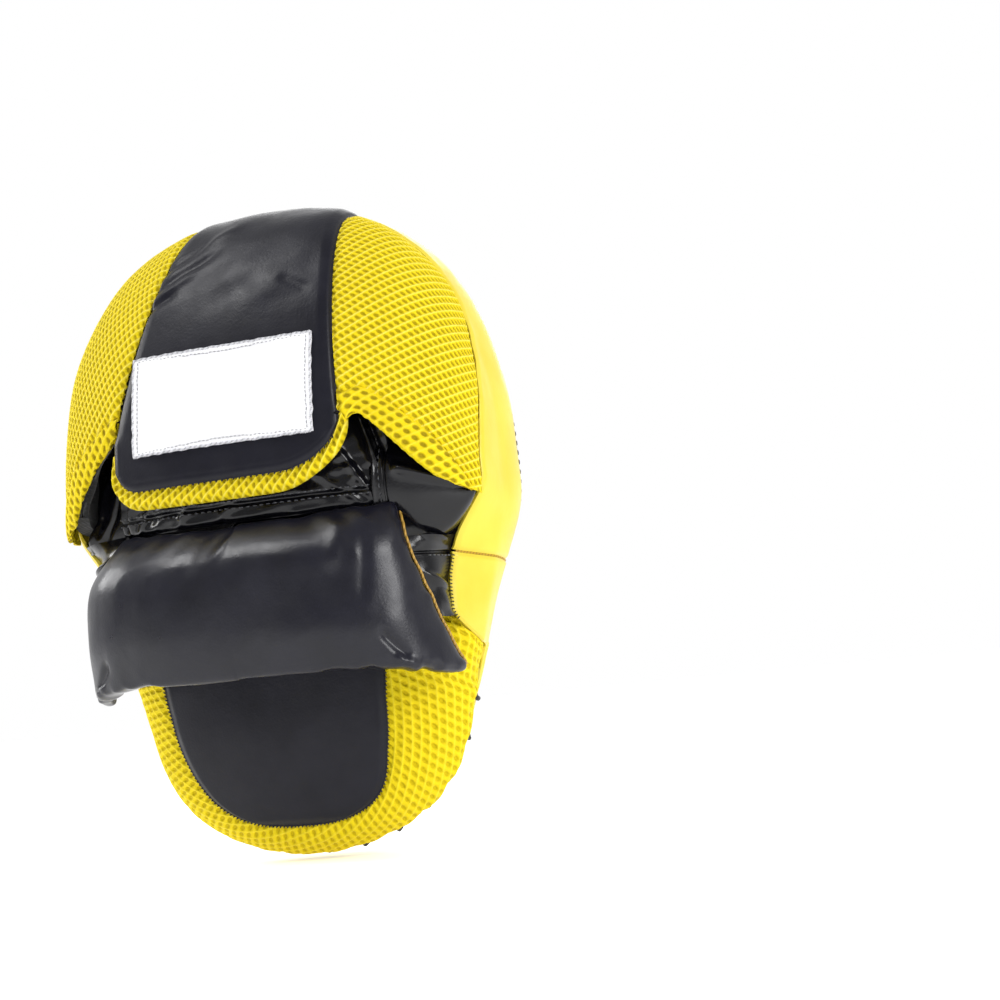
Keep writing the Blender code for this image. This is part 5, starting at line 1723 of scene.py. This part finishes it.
def inflate(piece, voxel, pressure, cap):
    """Puffs a closed piece up with a cloth simulation; no point moves further than cap."""
    remesh = piece.modifiers.new("remesh", "REMESH")
    remesh.mode = "VOXEL"
    remesh.voxel_size = voxel
    piece.data = evaluated(piece)
    piece.modifiers.clear()
    even_out(piece, 0, voxel * 0.4)
    start = point_values(piece.data, "co")
    cloth = piece.modifiers.new("cloth", "CLOTH").settings
    cloth.use_pressure = True
    cloth.uniform_pressure_force = pressure
    cloth.effector_weights.gravity = 0.0
    cloth.quality = 6
    cloth.tension_stiffness = 25
    cloth.compression_stiffness = 25
    cloth.bending_stiffness = 2.0
    for step in range(1, CLOTH_FRAMES + 1):
        bpy.context.scene.frame_set(step)
    moved = point_values(evaluated(piece), "co") - start
    far = np.linalg.norm(moved, axis=1)[:, None]
    piece.modifiers.clear()
    bpy.context.scene.frame_set(1)
    move_points(piece.data, start + moved * np.minimum(1.0, cap / np.maximum(far, 1e-9)))


def on_surface(piece, path, lift):
    """The path drawn onto a piece's nearest surface, and eased."""
    found = [piece.closest_point_on_mesh(Vector(point)) for point in path]
    laid = np.array([place + normal * lift for _, place, normal, _ in found])
    for _ in range(8):
        laid[1:-1] = laid[1:-1] * 0.5 + (laid[:-2] + laid[2:]) * 0.25
    return laid


def subdivide(piece, levels):
    """Applies smooth subdivision to the piece's mesh."""
    finer = piece.modifiers.new("finer", "SUBSURF")
    finer.levels = finer.render_levels = levels
    piece.data = evaluated(piece)
    piece.modifiers.clear()


def line_inside(data):
    """Gives the cuff its leather outside and its lining on the faces that look at the wrist."""
    data.materials.clear()
    data.materials.append(LOOKS["cuff"])
    data.materials.append(LOOKS["lining"])
    for face in data.polygons:
        x, y = face.center.x, face.center.y - CUFF_AXIS_Y
        towards = -face.normal.x * x - face.normal.y * y
        face.material_index = 1 if towards > CUFF_LINING_FACING * math.hypot(x, y) else 0


def build_cuff():
    """The padded wrist cuff, puffed like a cushion over its foam, its lower corners gathered."""
    inside = (0.0, 0.0, -0.03)
    wide = 1 - np.abs(np.linspace(-1, 1, CUFF_ACROSS)) ** 4
    long = np.sin(math.pi * np.clip(np.linspace(0.0, 1.0, CUFF_DOWN) * 0.86 + 0.07, 0, 1)) ** 0.5
    thick = CUFF_EDGE_THICK + CUFF_MIDDLE_THICK * wide[:, None] * long[None, :]
    grid = raised(cuff_grid(CUFF_ACROSS, CUFF_DOWN), -0.0012, inside)
    cuff = skin_sheet("wrist_cuff_pad", grid, thick, inside, "cuff")
    inflate(cuff, CUFF_VOXEL, CUFF_PRESSURE, CUFF_PUFF_CAP)
    even_out(cuff, 1)
    subdivide(cuff, 2)
    even_out(cuff, 4)
    points, normals = (point_values(cuff.data, key) for key in ("co", "normal"))
    x, y, z = points.T
    u = np.sign(x) * (np.abs(x) + np.maximum(CUFF_HEIGHT - y, 0.0))
    height = wrinkles(u, z, "cuff") + wrinkles(u, z * 0.6, "cuff_fine")
    height = height + wrinkles(u, z * 0.25, "cuff_top") * smooth((z + 0.012) / 0.020)
    height = height + folds(u, z, CUFF_CREASES)
    move_points(cuff.data, points + normals * height[:, None])
    even_out(cuff, 1)
    line_inside(cuff.data)
    cuff.data.shade_smooth()
    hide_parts("cuff_cover", "cuff_foam", "cuff_lining")
    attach(cuff, "wrist_cuff")
    fine = cuff_grid(111, 90)
    for name, row, side in (("little", 0, 1.0), ("thumb", -1, -1.0)):
        edge = fine[row, :-5] + np.array([side * 0.0002, -0.0014, 0.0])
        edge[:, 1] += wrinkles(edge[:, 2], 0 * edge[:, 2], "piping")
        edge = on_surface(cuff, edge, 0.0007)
        piping = tube(f"cuff_piping_{name}_side", edge, PIPING_RADIUS, 10, "amber")
        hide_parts(f"cuff_piping_{name}")
        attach(piping, "wrist_cuff")


# ---------------------------------------------------------------- stage


def add_camera():
    """The camera, at the photograph's viewing angle."""
    a, e, r = CAMERA_AZIMUTH, CAMERA_ELEVATION, CAMERA_ROLL
    back = Vector((math.sin(a) * math.cos(e), -math.cos(a) * math.cos(e), math.sin(e)))
    right = Vector((0, 0, 1)).cross(back).normalized()
    up = back.cross(right)
    rolled_right = right * math.cos(r) + up * math.sin(r)
    rolled_up = up * math.cos(r) - right * math.sin(r)
    level = Matrix((rolled_right, rolled_up, back)).transposed()
    aim = Vector((0, 0, -1)).rotation_difference(Vector((-AIM_LEFT, -AIM_DOWN, -1)))
    camera = put_in_scene("camera", bpy.data.cameras.new("camera"))
    camera.data.lens = CAMERA_LENS_MM
    camera.data.sensor_width = SENSOR_MM
    camera.data.clip_start = 0.01
    camera.matrix_world = (level @ aim.to_matrix().transposed()).to_4x4()
    camera.location = back * CAMERA_DISTANCE
    bpy.context.scene.camera = camera


def add_light(name, place, size, power):
    """A soft square light that faces the object."""
    lamp = bpy.data.lights.new(name, "AREA")
    lamp.size = size
    lamp.energy = power
    light = put_in_scene(name, lamp)
    light.location = place
    light.rotation_euler = (-Vector(place)).to_track_quat("-Z", "Y").to_euler()


def add_surround():
    """A white surround behind the object that dims softly towards the camera's side."""
    world = bpy.data.worlds.new("surround")
    world.use_nodes = True
    nodes, links = world.node_tree.nodes, world.node_tree.links
    direction = nodes.new("ShaderNodeTexCoord").outputs["Generated"]
    facing = nodes.new("ShaderNodeVectorMath")
    facing.operation = "DOT_PRODUCT"
    links.new(direction, facing.inputs[0])
    azimuth = CAMERA_AZIMUTH - SURROUND_TURN
    facing.inputs[1].default_value = (-math.sin(azimuth), math.cos(azimuth), 0.0)
    spread = nodes.new("ShaderNodeMapRange")
    links.new(facing.outputs["Value"], spread.inputs["Value"])
    values = (*SURROUND_SPREAD, SURROUND_NEAR, SURROUND_FAR)
    for key, value in zip(("From Min", "From Max", "To Min", "To Max"), values):
        spread.inputs[key].default_value = value
    seen = nodes.new("ShaderNodeMapRange")
    links.new(nodes.new("ShaderNodeLightPath").outputs["Is Camera Ray"], seen.inputs["Value"])
    links.new(spread.outputs["Result"], seen.inputs["To Min"])
    seen.inputs["To Max"].default_value = 1.0
    back = nodes["Background"]
    back.inputs["Color"].default_value = (1.0, 1.0, 1.0, 1.0)
    links.new(seen.outputs["Result"], back.inputs["Strength"])
    bpy.context.scene.world = world


def add_stage():
    """A pale floor under the object, a white surround and soft studio lights."""
    pale, paler = (0.95, 0.95, 0.95), (0.97, 0.97, 0.97)
    look = Look("floor", pale, 0.9)
    look.wire(look.shader, {"Base Color": look.ramp(look.noise(0.4, 2.0), (0.0, pale), (1.0, paler))})
    look.wire(look.shader, {"Emission Color": (1.0, 1.0, 1.0, 1.0), "Emission Strength": FLOOR_GLOW})
    data = bpy.data.meshes.new("floor")
    far, z = FLOOR_HALF, cad_low.z - FLOOR_GAP
    data.from_pydata([(-far, -far, z), (far, -far, z), (far, far, z), (-far, far, z)], [], [(0, 1, 2, 3)])
    data.materials.append(look.material)
    put_in_scene("floor", data)
    add_surround()
    for name, (place, size, power) in LIGHTS.items():
        add_light(name, place, size, power)
    bpy.context.scene.view_settings.view_transform = "Standard"


add_camera()
add_stage()
build_strike_face()
build_side_wall()
build_lacing()
build_rear_mesh()
build_rear_centre()
build_palm()
build_hood_mesh("hood_mesh_little", "hood_mesh_little_side", 1.0, STRAP_LITTLE_ANGLE, STRAP_LIP_X)
build_hood_mesh("hood_mesh_thumb", "hood_mesh_thumb_side", -1.0, -STRAP_THUMB_ANGLE, STRAP_LIP_THUMB_X)
build_strap()
build_hood_lining()
build_label()
build_hand_cover()
build_thumb_pouch()
build_side_panel("side_panel_thumb_skin", "side_panel_thumb", -1.0, -0.0120)
build_side_panel("side_panel_little_skin", "side_panel_little", 1.0, 0.0040)
build_little_flap()
build_cuff()
